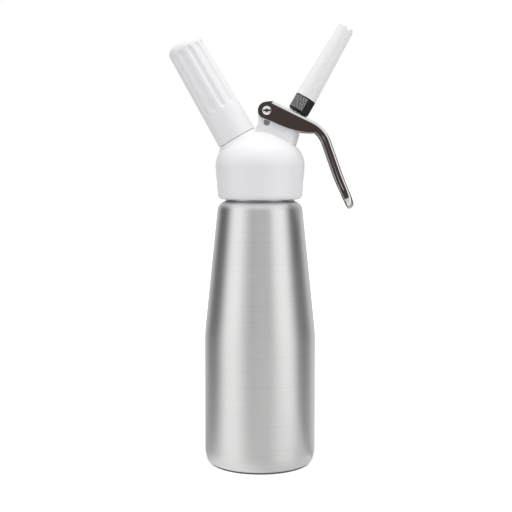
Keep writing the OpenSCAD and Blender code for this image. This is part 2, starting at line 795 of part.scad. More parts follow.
module pivot_screw() {
    head_face = -cheek_outer - fixed_gap;
    dome_r = (screw_head_r * screw_head_r + screw_head_h * screw_head_h) / (2 * screw_head_h);
    color([0.85, 0.85, 0.84]) difference() {
        union() {
            cross_rod(pivot, head_face - screw_head_h / 4, cheek_outer + nut_h, screw_r);
            intersection() {
                translate([pivot_x, head_face - screw_head_h + dome_r, pivot_z]) sphere(r = dome_r);
                cross_rod(pivot, head_face - screw_head_h - over, head_face, screw_head_r);
            }
        }
        translate([pivot_x, head_face - screw_head_h, pivot_z])
            cube([4 * screw_head_r, screw_head_h, slot_w], center = true);
    }
}

module pivot_nut() {
    color([0.8, 0.8, 0.8]) difference() {
        translate([pivot_x, cheek_outer + fixed_gap + nut_h, pivot_z]) rotate([90, 0, 0])
            cylinder(h = nut_h, r = nut_r, $fn = 6);
        cross_rod(pivot, cheek_outer, cheek_outer + 2 * nut_h, screw_r + fixed_gap);
    }
}

module dowel_pin() {
    color([0.4, 0.44, 0.5]) cross_rod([pivot_x, pivot_z - dowel_drop], -ear_half, ear_half, dowel_r);
}

module nozzle_collar() {
    color([0.12, 0.12, 0.12]) on_valve_axis() difference() {
        union() {
            rod(collar_base + collar_chamfer, collar_top, collar_r);
            translate([0, 0, collar_base])
                cylinder(h = collar_chamfer, r1 = collar_r - collar_chamfer, r2 = collar_r);
        }
        rod(collar_base - over, collar_top, stem_thread_r);
        rod(stem_top, collar_top + over, nozzle_root_r + fixed_gap);
        for (i = [0 : knurls - 1]) rotate([0, 0, i * 360 / knurls])
            translate([collar_r, 0, collar_base + 2 * collar_chamfer]) rotate([0, 0, 45])
                linear_extrude(height = collar_len - 3 * collar_chamfer)
                    square(knurl_depth * sqrt(2), center = true);
    }
}

module nozzle_seal() {
    color([0.9, 0.9, 0.88]) on_valve_axis() tube(stem_top, nozzle_foot, stem_bore_r, nozzle_root_r);
}

module decorator_nozzle() {
    color([0.93, 0.93, 0.93]) on_valve_axis() difference() {
        union() {
            rod(nozzle_foot, collar_top, nozzle_root_r);
            translate([0, 0, collar_top]) cylinder(h = nozzle_len, r1 = collar_r, r2 = nozzle_tip_r);
        }
        translate([0, 0, nozzle_foot]) cylinder(h = nozzle_tip - nozzle_foot,
            r1 = nozzle_root_r - nozzle_wall, r2 = nozzle_tip_r - nozzle_wall);
        rod(nozzle_foot - over, nozzle_foot + over, nozzle_root_r - nozzle_wall);
        rod(nozzle_tip - over, nozzle_tip + over, nozzle_tip_r - nozzle_wall);
        for (i = [0 : tip_teeth - 1]) rotate([0, 0, notch_turn + i * 360 / tip_teeth])
            rotate([90, 0, 90]) linear_extrude(height = 2 * collar_r) polygon([
                [-notch_w / 2, nozzle_tip + over],
                [-notch_w / 2, nozzle_tip],
                [0, nozzle_tip - notch_depth],
                [notch_w / 2, nozzle_tip],
                [notch_w / 2, nozzle_tip + over]]);
    }
}

bottle();
head_gasket();
head_housing();
thread_insert();
charger_stub();
piercing_pin_screw();
piercing_pin();
charger_seal();
check_valve();
charger_holder();
holder_sleeve();
gas_charger();
valve_body();
valve_guide_bush();
stem_seal();
valve_seat_gasket();
valve_stem();
valve_poppet();
valve_spring();
spring_clip();
lever();
pivot_screw();
pivot_nut();
dowel_pin();
nozzle_collar();
nozzle_seal();
decorator_nozzle();
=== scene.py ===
"""Whipped cream dispenser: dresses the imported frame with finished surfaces, studio light and a camera.

Sizes are in millimetres in the classes below and become metres where a mesh is made. Z is up, +X leads
towards the lever and the nozzle, and the camera stands on the -Y side.
"""
import logging
import math
from dataclasses import dataclass, field
from enum import Enum
from typing import Callable, Optional, Sequence, Union

import bmesh
import bpy
import numpy as np
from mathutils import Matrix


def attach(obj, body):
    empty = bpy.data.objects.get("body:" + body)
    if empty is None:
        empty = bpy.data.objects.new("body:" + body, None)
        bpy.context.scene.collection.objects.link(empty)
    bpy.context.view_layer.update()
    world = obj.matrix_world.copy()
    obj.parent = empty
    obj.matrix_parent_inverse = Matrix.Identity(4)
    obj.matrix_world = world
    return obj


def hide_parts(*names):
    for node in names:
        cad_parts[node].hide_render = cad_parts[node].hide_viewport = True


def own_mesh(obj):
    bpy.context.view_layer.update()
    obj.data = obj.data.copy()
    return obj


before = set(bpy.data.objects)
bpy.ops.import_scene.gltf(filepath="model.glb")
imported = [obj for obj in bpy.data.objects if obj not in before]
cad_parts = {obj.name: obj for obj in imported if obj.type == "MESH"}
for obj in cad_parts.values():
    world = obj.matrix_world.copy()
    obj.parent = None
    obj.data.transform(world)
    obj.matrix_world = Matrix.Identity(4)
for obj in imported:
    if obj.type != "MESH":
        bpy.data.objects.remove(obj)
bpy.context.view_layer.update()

MM = 0.001
# The valve's axis leans by TILT towards +X and the holder's towards -X, and both cross the bottle's axis at
# the height CROSSING. PIVOT is the lever's pivot in the side view, (x, z).
TILT = math.radians(30)
CROSSING = 206.0
PIVOT = (4.7, 253.5)
QUARTER = math.pi / 2
MERGE = 2e-6
Array = np.ndarray
Colour = Sequence[float]
Corners = Sequence[Sequence[float]]
Number = Union[float, "Socket"]
Values = Union[float, Array]
Relief = Callable[[Array, Array, Array], Array]
log = logging.getLogger("dispenser")


# ---------------------------------------------------------------- shader maths


class Socket:
    """An output socket on which shader maths is written as a Python expression."""

    def __init__(self, graph: "Graph", link: bpy.types.NodeSocket) -> None:
        """Wraps the output link of one of the graph's nodes."""
        self.graph, self.link = graph, link

    def math(self, operation: str, *others: Number, clamp: bool = False) -> "Socket":
        """A Math node of this socket and the others; clamp holds the result between 0 and 1."""
        settings = {"operation": operation, "use_clamp": clamp}
        return self.graph.node("ShaderNodeMath", settings, dict(enumerate((self, *others))))

    def __add__(self, other: Number) -> "Socket":
        """This plus other."""
        return self.math("ADD", other)

    def __mul__(self, other: Number) -> "Socket":
        """This times other."""
        return self.math("MULTIPLY", other)

    def __sub__(self, other: Number) -> "Socket":
        """This minus other."""
        return self.math("SUBTRACT", other)

    def __rsub__(self, other: float) -> "Socket":
        """Other minus this."""
        return (self * -1.0).math("ADD", other)

    __radd__ = __add__
    __rmul__ = __mul__

    def step(self, low: float, high: float) -> "Socket":
        """Smooth step from 0 at low to 1 at high: 3k^2 - 2k^3 with k = (x - low) / (high - low)."""
        k = ((self - low) * (1.0 / (high - low))).math("ADD", 0.0, clamp=True)
        return k * k * (3.0 - k * 2.0)


class Graph:
    """The node tree of a material or of the world."""

    def __init__(self, tree: bpy.types.NodeTree) -> None:
        """Takes a node tree and empties it."""
        self.tree = tree
        tree.nodes.clear()

    def node(self, kind: str, settings: Optional[dict] = None, inputs: Optional[dict] = None,
             output: Union[int, str] = 0) -> Optional[Socket]:
        """Adds any node.

        Args:
            kind: The node's type.
            settings: Its settings, set first.
            inputs: Values or sockets by input name, identifier or number.
            output: The output that is returned, by number or name.

        Returns:
            That output, or None where the node has no outputs.
        """
        made = self.tree.nodes.new(kind)
        for key, value in (settings or {}).items():
            setattr(made, key, value)
        by_name = {s.name: s for s in reversed(list(made.inputs))}
        by_name.update({s.identifier: s for s in made.inputs})
        for key, value in (inputs or {}).items():
            target = made.inputs[key] if isinstance(key, int) else by_name[key]
            if isinstance(value, Socket):
                self.tree.links.new(value.link, target)
            elif target.type == "RGBA" and len(value) == 3:
                target.default_value = (*value, 1.0)
            else:
                target.default_value = value
        return Socket(self, made.outputs[output]) if made.outputs else None

    def place(self, tilt: float = 0.0, scale: Sequence[float] = (1.0, 1.0, 1.0)) -> Socket:
        """Object coordinates in metres, turned so that their Z runs along a leaning axis, and scaled.

        Args:
            tilt: The axis's lean towards +X, in radians.
            scale: Scale of the turned coordinates.

        Returns:
            The coordinates.
        """
        where = self.node("ShaderNodeTexCoord", output="Object")
        if tilt:
            where = self.node("ShaderNodeVectorMath", {"operation": "SUBTRACT"},
                              {0: where, 1: (0.0, 0.0, CROSSING * MM)})
            where = self.node("ShaderNodeMapping", {}, {"Vector": where, "Rotation": (0.0, -tilt, 0.0)})
        return self.node("ShaderNodeMapping", {}, {"Vector": where, "Scale": tuple(scale)})

    def split(self, where: Socket) -> list[Socket]:
        """The three coordinates of a vector."""
        first = self.node("ShaderNodeSeparateXYZ", {}, {0: where})
        return [Socket(self, out) for out in first.link.node.outputs]

    def noise(self, where: Socket, scale: float = 1.0, detail: float = 3.0, rough: float = 0.55) -> Socket:
        """Fractal noise around 0.5, of detail octaves, each finer one weighing rough times the last."""
        return self.node("ShaderNodeTexNoise", {}, {"Vector": where, "Scale": scale, "Detail": detail,
                                                    "Roughness": rough})

    def mix(self, share: Number, first: Union[Socket, Colour], second: Union[Socket, Colour]) -> Socket:
        """Colour between two colours."""
        return self.node("ShaderNodeMix", {"data_type": "RGBA", "clamp_factor": True},
                         {"Factor_Float": share, "A_Color": first, "B_Color": second}, output=2)

    def grey(self, level: Socket) -> Socket:
        """A grey of a given level."""
        return self.node("ShaderNodeCombineColor", {}, {0: level, 1: level, 2: level})

    def bump(self, height: Socket, depth: float) -> Socket:
        """Normal from a height between 0 and 1, where 1 measures depth metres."""
        return self.node("ShaderNodeBump", {}, {"Height": height, "Distance": depth, "Strength": 1.0})

    def ray(self, kind: str) -> Socket:
        """1 for rays of one kind, such as Camera, and 0 for all others."""
        return self.node("ShaderNodeLightPath", output=f"Is {kind} Ray")

    def seen(self) -> Socket:
        """1 for what the camera sees, also through something clear, and 0 for all other rays."""
        return self.ray("Camera").math("MAXIMUM", self.ray("Transmission"))

    def emission(self, colour: Socket) -> Socket:
        """A shader that shines in a colour."""
        return self.node("ShaderNodeEmission", {}, {"Color": colour, "Strength": 1.0})

    def surface(self, **inputs: object) -> None:
        """Ends the tree in a Principled shader.

        Args:
            inputs: Its inputs by their names in small letters: base_color sets Base Color.
        """
        named = {key.replace("_", " ").title().replace("Ior", "IOR"): value for key, value in inputs.items()}
        shader = self.node("ShaderNodeBsdfPrincipled", {}, named)
        self.node("ShaderNodeOutputMaterial", {}, {"Surface": shader})


# ------------------------------------------------------------------- finishes


@dataclass(frozen=True)
class Finish:
    """A finish: a material with its detail, and the record's slot that it stands for."""

    name: str
    slot: str
    colour: Colour
    roughness: float

    def shade(self, graph: Graph) -> None:
        """Fills the material's node tree."""
        raise NotImplementedError

    def tone(self, gain: float, lift: float = 0.0) -> Colour:
        """The finish's colour times a gain, plus a lift, and at most 1."""
        return tuple(min(1.0, c * gain + lift) for c in self.colour)

    def material(self) -> bpy.types.Material:
        """The finish's material, made when it is first asked for.

        Returns:
            The material.
        """
        made = bpy.data.materials.get(self.name)
        if made is None:
            made = bpy.data.materials.new(self.name)
            made.use_nodes = True
            made.diffuse_color = (*self.colour, 1.0)
            self.shade(Graph(made.node_tree))
        return made


@dataclass(frozen=True)
class SpunMetal(Finish):
    """Metal with fine lines round an axis, as turning or spinning leaves them."""

    tilt: float = 0.0
    lines: float = 2600.0
    contrast: float = 0.06
    depth: float = 4e-6
    anisotropy: float = 0.0

    def shade(self, graph: Graph) -> None:
        """Draws noise out into lines round the axis, with broad noise for the uneven sheen of handling.

        Args:
            graph: The material's node tree.
        """
        coarse = graph.noise(graph.place(self.tilt, (14.0, 14.0, self.lines)), detail=4.0)
        fine = graph.noise(graph.place(self.tilt, (60.0, 60.0, self.lines * 4.0)), detail=2.0)
        broad = graph.noise(graph.place(self.tilt), scale=22.0, detail=2.0)
        lines = coarse * 0.65 + fine * 0.35
        graph.surface(
            base_color=graph.mix(lines.step(0.3, 0.7), self.tone(1.0 - 2.0 * self.contrast),
                                 self.tone(1.0 + self.contrast)),
            metallic=1.0,
            roughness=(lines - 0.5) * 0.16 + (broad - 0.5) * 0.06 + self.roughness,
            anisotropic=self.anisotropy,
            anisotropic_rotation=0.25,
            normal=graph.bump(lines, self.depth),
        )


@dataclass(frozen=True)
class MouldedPlastic(Finish):
    """Injection-moulded plastic: nearly smooth, with a faint ripple and slight unevenness in gloss."""

    grain: float = 900.0
    ripple: float = 70.0
    depth: float = 1.8e-5

    def shade(self, graph: Graph) -> None:
        """Gives the skin its texture by fine noise, and moves gloss and tone a little by broad noise.

        Args:
            graph: The material's node tree.
        """
        where = graph.place()
        grain = graph.noise(where, self.grain, 4.0, 0.6)
        ripple = graph.noise(where, self.ripple, 2.0)
        graph.surface(
            base_color=graph.mix(ripple.step(0.35, 0.65), self.tone(0.975), self.colour),
            roughness=(grain - 0.5) * 0.10 + (ripple - 0.5) * 0.08 + self.roughness,
            ior=1.49,
            normal=graph.bump(grain * 0.3 + ripple * 0.7, self.depth),
        )


@dataclass(frozen=True)
class PolishedMetal(Finish):
    """Polished metal with a haze of fine wiping marks and a few soft smudges."""

    drawn: Sequence[float] = (180.0, 900.0, 180.0)

    def shade(self, graph: Graph) -> None:
        """Makes wiping marks of drawn-out noise, and smudges that dull the polish of broad noise.

        Args:
            graph: The material's node tree.
        """
        marks = graph.noise(graph.place(0.0, self.drawn), detail=5.0, rough=0.65)
        smudge = graph.noise(graph.place(), scale=55.0)
        graph.surface(
            base_color=graph.mix(smudge.step(0.3, 0.7), self.tone(0.9), self.colour),
            metallic=1.0,
            roughness=(marks - 0.5) * 0.05 + smudge.step(0.45, 0.75) * 0.05 + self.roughness,
            normal=graph.bump(marks, 1.2e-6),
        )


@dataclass(frozen=True)
class KnurledBlack(Finish):
    """Dark metal whose knurled crests carry a painted highlight on the side where the light falls."""

    # Colour of the painted highlight on the lit crests.
    crest_highlight: Colour = (0.85, 0.85, 0.86)

    def shade(self, graph: Graph) -> None:
        """Paints a highlight on the knurl where the piece's own crest attribute says that it stands proud.

        The painted highlight is strongest near the middle of the visible side and ends 2 mm to the right of
        it.

        Args:
            graph: The material's node tree.
        """
        crest = graph.node("ShaderNodeAttribute", {"attribute_name": "crest"}, output="Fac")
        spots = graph.noise(graph.place(), scale=1400.0)
        x, _, z = graph.split(graph.place())
        side = x * math.cos(TILT) - (z - CROSSING * MM) * math.sin(TILT)
        # Painted light: a mask of the lit side of the valve's axis, so only crests there get the painted
        # highlight.
        lit_side = (1.0 - side.step(0.0014, 0.0024)) * (side.step(-0.0024, -0.0012) * 0.2 + 0.8)
        crest_highlight = crest.step(0.3, 0.62) * (spots.step(0.3, 0.62) * 0.3 + 0.7) * lit_side
        graph.surface(
            base_color=graph.mix(crest_highlight, self.colour, self.crest_highlight),
            metallic=0.6 - crest_highlight * 0.1,
            roughness=(spots - 0.5) * 0.12 + self.roughness,
            normal=graph.bump(spots, 4e-6),
        )


@dataclass(frozen=True)
class SoftRubber(Finish):
    """Moulded rubber or silicone with a matt, slightly dusty skin."""

    def shade(self, graph: Graph) -> None:
        """Gives the skin its texture by fine noise, and its dusty tone by broad noise.

        Args:
            graph: The material's node tree.
        """
        skin = graph.noise(graph.place(), 1600.0, 4.0, 0.65)
        dust = graph.noise(graph.place(), scale=120.0)
        graph.surface(
            base_color=graph.mix(dust.step(0.4, 0.8), self.colour, self.tone(1.25, 0.02)),
            roughness=(skin - 0.5) * 0.2 + self.roughness,
            normal=graph.bump(skin, 1.2e-5),
        )


BRASS = (0.80, 0.62, 0.30)
BOTTLE_METAL = SpunMetal("spun_aluminium", "brushed_aluminium", (0.86, 0.855, 0.85), 0.38, depth=3e-6,
                         contrast=0.03, anisotropy=0.9)
WHITE = MouldedPlastic("white_plastic", "white_plastic", (0.89, 0.89, 0.92), 0.34)
NOZZLE_WHITE = MouldedPlastic("nozzle_plastic", "nozzle_plastic", (0.955, 0.955, 0.96), 0.34)
INSERT_METAL = SpunMetal("insert_aluminium", "insert_aluminium", (0.72, 0.72, 0.72), 0.28, lines=5000.0)
TILTED_ALUMINIUM = SpunMetal("turned_aluminium", "insert_aluminium", (0.74, 0.74, 0.73), 0.26, tilt=-TILT,
                             lines=5000.0)
CHARGER_STEEL = SpunMetal("charger_steel", "charger_steel", (0.60, 0.61, 0.63), 0.34, tilt=-TILT)
PIN_BRASS = SpunMetal("pin_brass", "brass", BRASS, 0.28, tilt=-TILT, lines=6000.0)
VALVE_BRASS = SpunMetal("valve_brass", "brass", BRASS, 0.28, tilt=TILT, lines=6000.0)
STEM_STEEL = SpunMetal("stem_steel", "stem_steel", (0.72, 0.72, 0.71), 0.22, tilt=TILT, lines=6000.0)
SPRING_STEEL = PolishedMetal("spring_steel", "spring_steel", (0.60, 0.60, 0.61), 0.24)
LEVER_CHROME = PolishedMetal("lever_chrome", "lever_steel", (0.86, 0.85, 0.85), 0.06)
SCREW_CHROME = PolishedMetal("screw_chrome", "screw_steel", (0.86, 0.86, 0.84), 0.10)
DOWEL_STEEL = PolishedMetal("dowel_steel", "dowel_steel", (0.11, 0.128, 0.148), 0.30)
COLLAR_BLACK = KnurledBlack("collar_black", "black_collar", (0.02, 0.02, 0.021), 0.24)
CLEAR_SILICONE = SoftRubber("clear_silicone", "clear_silicone", (0.72, 0.72, 0.70), 0.45)
BLACK_RUBBER = SoftRubber("black_rubber", "black_rubber", (0.025, 0.025, 0.026), 0.55)
RED_SILICONE = SoftRubber("red_silicone", "red_silicone", (0.42, 0.05, 0.03), 0.45)


# -------------------------------------------------------------------- meshes


class Axis(Enum):
    """The axes that round pieces are made on, by their lean towards +X."""

    UPRIGHT = 0.0
    VALVE = TILT
    HOLDER = -TILT

    def to_world(self, points: Array) -> Array:
        """Takes points from the axis's own frame, whose Z starts at the crossing, to the shared one.

        Args:
            points: Points (x, y, z) of the axis's frame.

        Returns:
            (x cos a + z sin a, y, z cos a - x sin a + crossing), or the points as they are if upright.
        """
        if self is Axis.UPRIGHT:
            return points
        c, s = math.cos(self.value), math.sin(self.value)
        x, y, z = np.moveaxis(points, -1, 0)
        return np.stack([x * c + z * s, y, z * c - x * s + CROSSING], -1)

    def to_local(self, points: Array) -> Array:
        """Takes points from the shared frame to a leaning axis's own, as the reverse of to_world.

        Args:
            points: Points (x, y, z) of the shared frame.

        Returns:
            (x cos a - z sin a, y, z cos a + x sin a), with z counted from the crossing.
        """
        c, s = math.cos(self.value), math.sin(self.value)
        x, y, z = np.moveaxis(points, -1, 0)
        z = z - CROSSING
        return np.stack([x * c - z * s, y, z * c + x * s], -1)


def circle(count: int) -> Array:
    """Angles of a number of places spread evenly round a circle."""
    return np.arange(count) * 2 * math.pi / count


def polar(r: Array, a: Array, z: Values) -> Array:
    """Points (r cos a, r sin a, z)."""
    return np.stack(np.broadcast_arrays(r * np.cos(a), r * np.sin(a), z), -1)


def across(r: Values, a: Array, y: Values, drop: float = 0.0) -> Array:
    """Points (r cos a, y, r sin a) from the pivot, or from a place that lies by drop under it."""
    x, z = r * np.cos(a) + PIVOT[0], r * np.sin(a) - drop + PIVOT[1]
    return np.stack(np.broadcast_arrays(x, y, z), -1)


def capped(rows: Array) -> Array:
    """Rows of points with a further row at each end, all of it at the middle of the end row."""
    first, last = (np.broadcast_to(rows[i].mean(0), rows[i].shape)[None] for i in (0, -1))
    return np.concatenate([first, rows, last])


def smooth(x: Array, low: Values, high: Values) -> Array:
    """Smooth step of an array: 3k^2 - 2k^3 with k = (x - low) / (high - low) held between 0 and 1."""
    k = np.clip((x - low) / (high - low), 0, 1)
    return k * k * (3 - 2 * k)


def soft_min(a: Array, b: Array, k: float) -> Array:
    """The lesser of two arrays, rounded over a width k: min(a, b) - k h^2 / 4 with h = 1 - |a - b| / k."""
    h = np.clip(1 - np.abs(a - b) / k, 0, 1)
    return np.minimum(a, b) - k * h * h / 4


def put(name: str, data: bpy.types.ID) -> bpy.types.Object:
    """Adds an object to the scene.

    Args:
        name: Its name.
        data: Its mesh, light or camera.

    Returns:
        The object.
    """
    made = bpy.data.objects.new(name, data)
    bpy.context.scene.collection.objects.link(made)
    return made


def weld(mesh: bpy.types.Mesh, gap: float = MERGE, outward: bool = False) -> None:
    """Merges the doubles of a mesh.

    Args:
        mesh: The mesh.
        gap: How far apart doubles may lie, in metres.
        outward: Whether flat faces go, and the others are turned outward.
    """
    work = bmesh.new()
    work.from_mesh(mesh)
    bmesh.ops.remove_doubles(work, verts=work.verts, dist=gap)
    if outward:
        bmesh.ops.dissolve_degenerate(work, edges=work.edges, dist=1e-7)
        bmesh.ops.recalc_face_normals(work, faces=work.faces)
    work.to_mesh(mesh)
    work.free()


def modify(piece: bpy.types.Object, kind: str, **settings: object) -> None:
    """Applies a modifier to an object's mesh.

    Args:
        piece: The object.
        kind: The modifier's type.
        settings: Its settings.
    """
    made = piece.modifiers.new(kind.lower(), kind)
    for key, value in settings.items():
        setattr(made, key, value)
    bpy.context.view_layer.update()
    ready = piece.evaluated_get(bpy.context.evaluated_depsgraph_get())
    mesh = bpy.data.meshes.new_from_object(ready)
    piece.modifiers.clear()
    piece.data = mesh


def dress(piece: bpy.types.Object, finish: Finish, body: str, replaces: Sequence[str], sharp: float) -> None:
    """Gives an object its material, its smooth shading, its body and the nodes that it stands for.

    Args:
        piece: The object, with a mesh.
        finish: Its finish.
        body: The body that it rides on.
        replaces: CAD nodes that it stands for.
        sharp: Angle in degrees past which an edge is sharp.
    """
    mesh = piece.data
    mesh.materials.clear()
    mesh.materials.append(finish.material())
    mesh.shade_smooth()
    mesh.set_sharp_from_angle(angle=math.radians(sharp))
    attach(piece, body)
    if replaces:
        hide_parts(*replaces)
    log.info("%s: %d faces on %s", piece.name, len(mesh.polygons), body)


@dataclass
class Shape:
    """A mesh in the making, in millimetres."""

    points: Array
    quads: Array
    crest: Optional[Array] = None

    @classmethod
    def grid(cls, points: Array, wrap_rows: bool = False, wrap_columns: bool = True,
             keep: Optional[Array] = None) -> "Shape":
        """Quads over a grid of points.

        Args:
            points: Rows by columns by 3.
            wrap_rows: Whether the last row joins the first.
            wrap_columns: Whether the last column joins the first.
            keep: Which quads stay, rows by columns.

        Returns:
            The shape.
        """
        rows, columns = points.shape[:2]
        r, c = np.meshgrid(np.arange(rows if wrap_rows else rows - 1),
                           np.arange(columns if wrap_columns else columns - 1), indexing="ij")
        r2, c2 = (r + 1) % rows, (c + 1) % columns
        quads = np.stack([r * columns + c, r * columns + c2, r2 * columns + c2, r2 * columns + c], -1)
        quads = quads[keep] if keep is not None else quads.reshape(-1, 4)
        return cls(points.reshape(-1, 3), quads)

    def join(self, other: "Shape") -> "Shape":
        """This shape and another as one."""
        return Shape(np.concatenate([self.points, other.points]),
                     np.concatenate([self.quads, other.quads + len(self.points)]))

    def piece(self, name: str, finish: Finish, body: str, replaces: Sequence[str] = (),
              sharp: float = 35.0) -> bpy.types.Object:
        """Makes the shape an object with merged seams and poles and faces outward, and dresses it.

        Args:
            name: The piece's name.
            finish: Its finish.
            body: The body that it rides on.
            replaces: CAD nodes that it stands for.
            sharp: Angle in degrees past which an edge is sharp.

        Returns:
            The object.
        """
        mesh = bpy.data.meshes.new(name)
        mesh.vertices.add(len(self.points))
        mesh.vertices.foreach_set("co", (self.points * MM).astype(np.float32).ravel())
        mesh.loops.add(self.quads.size)
        mesh.loops.foreach_set("vertex_index", self.quads.astype(np.int32).ravel())
        mesh.polygons.add(len(self.quads))
        mesh.polygons.foreach_set("loop_start", np.arange(0, self.quads.size, 4, dtype=np.int32))
        mesh.update(calc_edges=True)
        if self.crest is not None:
            mesh.attributes.new("crest", "FLOAT", "POINT").data.foreach_set(
                "value", self.crest.astype(np.float32).ravel())
        weld(mesh, outward=True)
        mesh.validate()
        made = put(name, mesh)
        dress(made, finish, body, replaces, sharp)
        return made


def rounded(corners: Corners, closed: bool = False, step: float = 3.0, arc_step: float = 6.0) -> Array:
    """Path through corners whose rounding is the arc tangent to both sides.

    Each corner p with radius r, between unit directions u and v, gets the arc round p + (u + v) r / sin(h)
    / |u + v|, where h is half the angle between u and v. Straight stretches are divided evenly.

    Args:
        corners: Rows of (x, y, radius).
        closed: Whether the path closes.
        step: Longest straight division.
        arc_step: Largest turn between points of an arc, in degrees.

    Returns:
        The path's points, n by 2.
    """
    c = np.asarray(corners, float)
    parts: list[Array] = []
    for i, (x, y, r) in enumerate(c):
        p = np.array([x, y])
        if r <= 0 or (not closed and i in (0, len(c) - 1)):
            parts.append(p[None])
            continue
        u, v = c[i - 1, :2] - p, c[(i + 1) % len(c), :2] - p
        u, v = u / np.linalg.norm(u), v / np.linalg.norm(v)
        half = math.acos(max(-1.0, min(1.0, float(u @ v)))) / 2
        centre = p + (u + v) / np.linalg.norm(u + v) * r / math.sin(half)
        start, end = p + u * r / math.tan(half) - centre, p + v * r / math.tan(half) - centre
        a = math.atan2(start[1], start[0])
        sweep = (math.atan2(end[1], end[0]) - a + math.pi) % (2 * math.pi) - math.pi
        turn = a + sweep * np.linspace(0, 1, max(3, round(math.degrees(abs(sweep)) / arc_step) + 1))
        parts.append(centre + r * np.stack([np.cos(turn), np.sin(turn)], -1))
    path = np.concatenate(parts)
    if closed:
        path = np.concatenate([path, path[:1]])
    counts = np.maximum(1, np.ceil(np.linalg.norm(np.diff(path, axis=0), axis=1) / step)).astype(int)
    share = np.concatenate([np.arange(k) / k for k in counts])
    start = np.repeat(np.arange(len(counts)), counts)
    dense = path[start] + (path[start + 1] - path[start]) * share[:, None]
    return dense if closed else np.concatenate([dense, path[-1:]])


def revolve(profile: Array, axis: Axis = Axis.UPRIGHT, segments: int = 96, closed: bool = True,
            relief: Optional[Relief] = None) -> Shape:
    """Surface of revolution: (r cos a, r sin a, z) for each point (r, z) of the profile.

    Args:
        profile: Points (r, z).
        axis: The axis that it turns on.
        segments: Columns round the axis.
        closed: Whether the profile is a closed ring, as of a tube.
        relief: Gives the radius from radius, height and angle, such as a thread.

    Returns:
        The shape.
    """
    r, a = np.broadcast_arrays(profile[:, :1], circle(segments)[None])
    z = np.broadcast_to(profile[:, 1:], r.shape)
    if relief is not None:
        r = relief(r, z, a)
    return Shape.grid(axis.to_world(polar(r, a, z)), wrap_rows=closed)


def ring(inner: float, outer: float, low: float, high: float, edge: float = 0.2) -> Corners:
    """Profile of a ring or tube with broken edges."""
    return [[inner, low, edge], [outer, low, edge], [outer, high, edge], [inner, high, edge]]


@dataclass(frozen=True)
class Thread:
    """A screw thread as relief: depth times a rounded triangle wave of (z / pitch - a / 2 pi)."""

    radius: float
    low: float
    high: float
    pitch: float
    depth: float
    inside: bool = False

    def __call__(self, r: Array, z: Array, a: Array) -> Array:
        """Cuts the thread's grooves, which fade over a quarter turn at both ends.

        Args:
            r: Radius of the plain piece.
            z: Place along the axis.
            a: Angle round the axis.

        Returns:
            The radius.
        """
        phase = (z / self.pitch - a / (2 * math.pi)) % 1.0
        groove = smooth(np.abs(phase - 0.5) * 2, 0.15, 0.85)
        fade = self.pitch / 4
        where = smooth(z, self.low, self.low + fade) * (1 - smooth(z, self.high - fade, self.high))
        where = where * (np.abs(r - self.radius) < 0.02)
        return r + (1 if self.inside else -1) * self.depth * groove * where


# ---------------------------------------------------------------- sub-assemblies


@dataclass
class Bottle:
    """The spun aluminium bottle with its threaded neck."""

    radius: float = 40.0
    wall: float = 1.4
    taper: float = 93.7
    blend: float = 100.0
    shoulder: float = 189.5
    shoulder_radius: float = 30.0
    shoulder_round: float = 7.0
    dish: float = 27.5
    dish_rise: float = 0.9
    stand: float = 30.5
    foot_in: float = 2.0
    foot_rise: float = 7.5
    foot_round: float = 3.4
    foot_blend: float = 18.0
    floor: float = 2.0
    inner_round: float = 4.6
    neck: float = 24.7
    neck_foot: float = 193.5
    bore: float = 22.2
    rim: float = 212.0
    rim_round: float = 0.7

    def build(self) -> None:
        """Revolves the wall, outside up and inside down, with a dished base and a thread on the neck."""
        w = self.wall
        outside = rounded([
            [0, self.dish_rise, 0], [self.dish, self.dish_rise, 3], [self.stand, 0, 3],
            [self.radius - self.foot_in, 0, self.foot_round],
            [self.radius, self.foot_rise, self.foot_blend],
            [self.radius, self.taper, self.blend],
            [self.shoulder_radius, self.shoulder, self.shoulder_round],
            [self.neck, self.shoulder, 0.8], [self.neck, self.neck_foot, 0]], step=1.5, arc_step=2.0)
        neck = rounded([
            [self.neck, self.neck_foot + 0.1, 0], [self.neck, self.rim, self.rim_round],
            [self.bore, self.rim, self.rim_round], [self.bore, self.shoulder - 1, 1.2]],
            step=0.4, arc_step=15.0)
        inside = rounded([
            [self.bore, self.shoulder - w, 0.5],
            [self.shoulder_radius - w, self.shoulder - w, self.shoulder_round - w],
            [self.radius - w, self.taper, self.blend - w],
            [self.radius - w, self.floor, self.inner_round], [0, self.floor, 0]], step=4.0)
        thread = Thread(self.neck, low=196.0, high=210.5, pitch=4.0, depth=0.75)
        shape = revolve(np.concatenate([outside, neck, inside]), segments=192, closed=False, relief=thread)
        shape.piece("bottle_wall", BOTTLE_METAL, "bottle", ["bottle"], sharp=50.0)


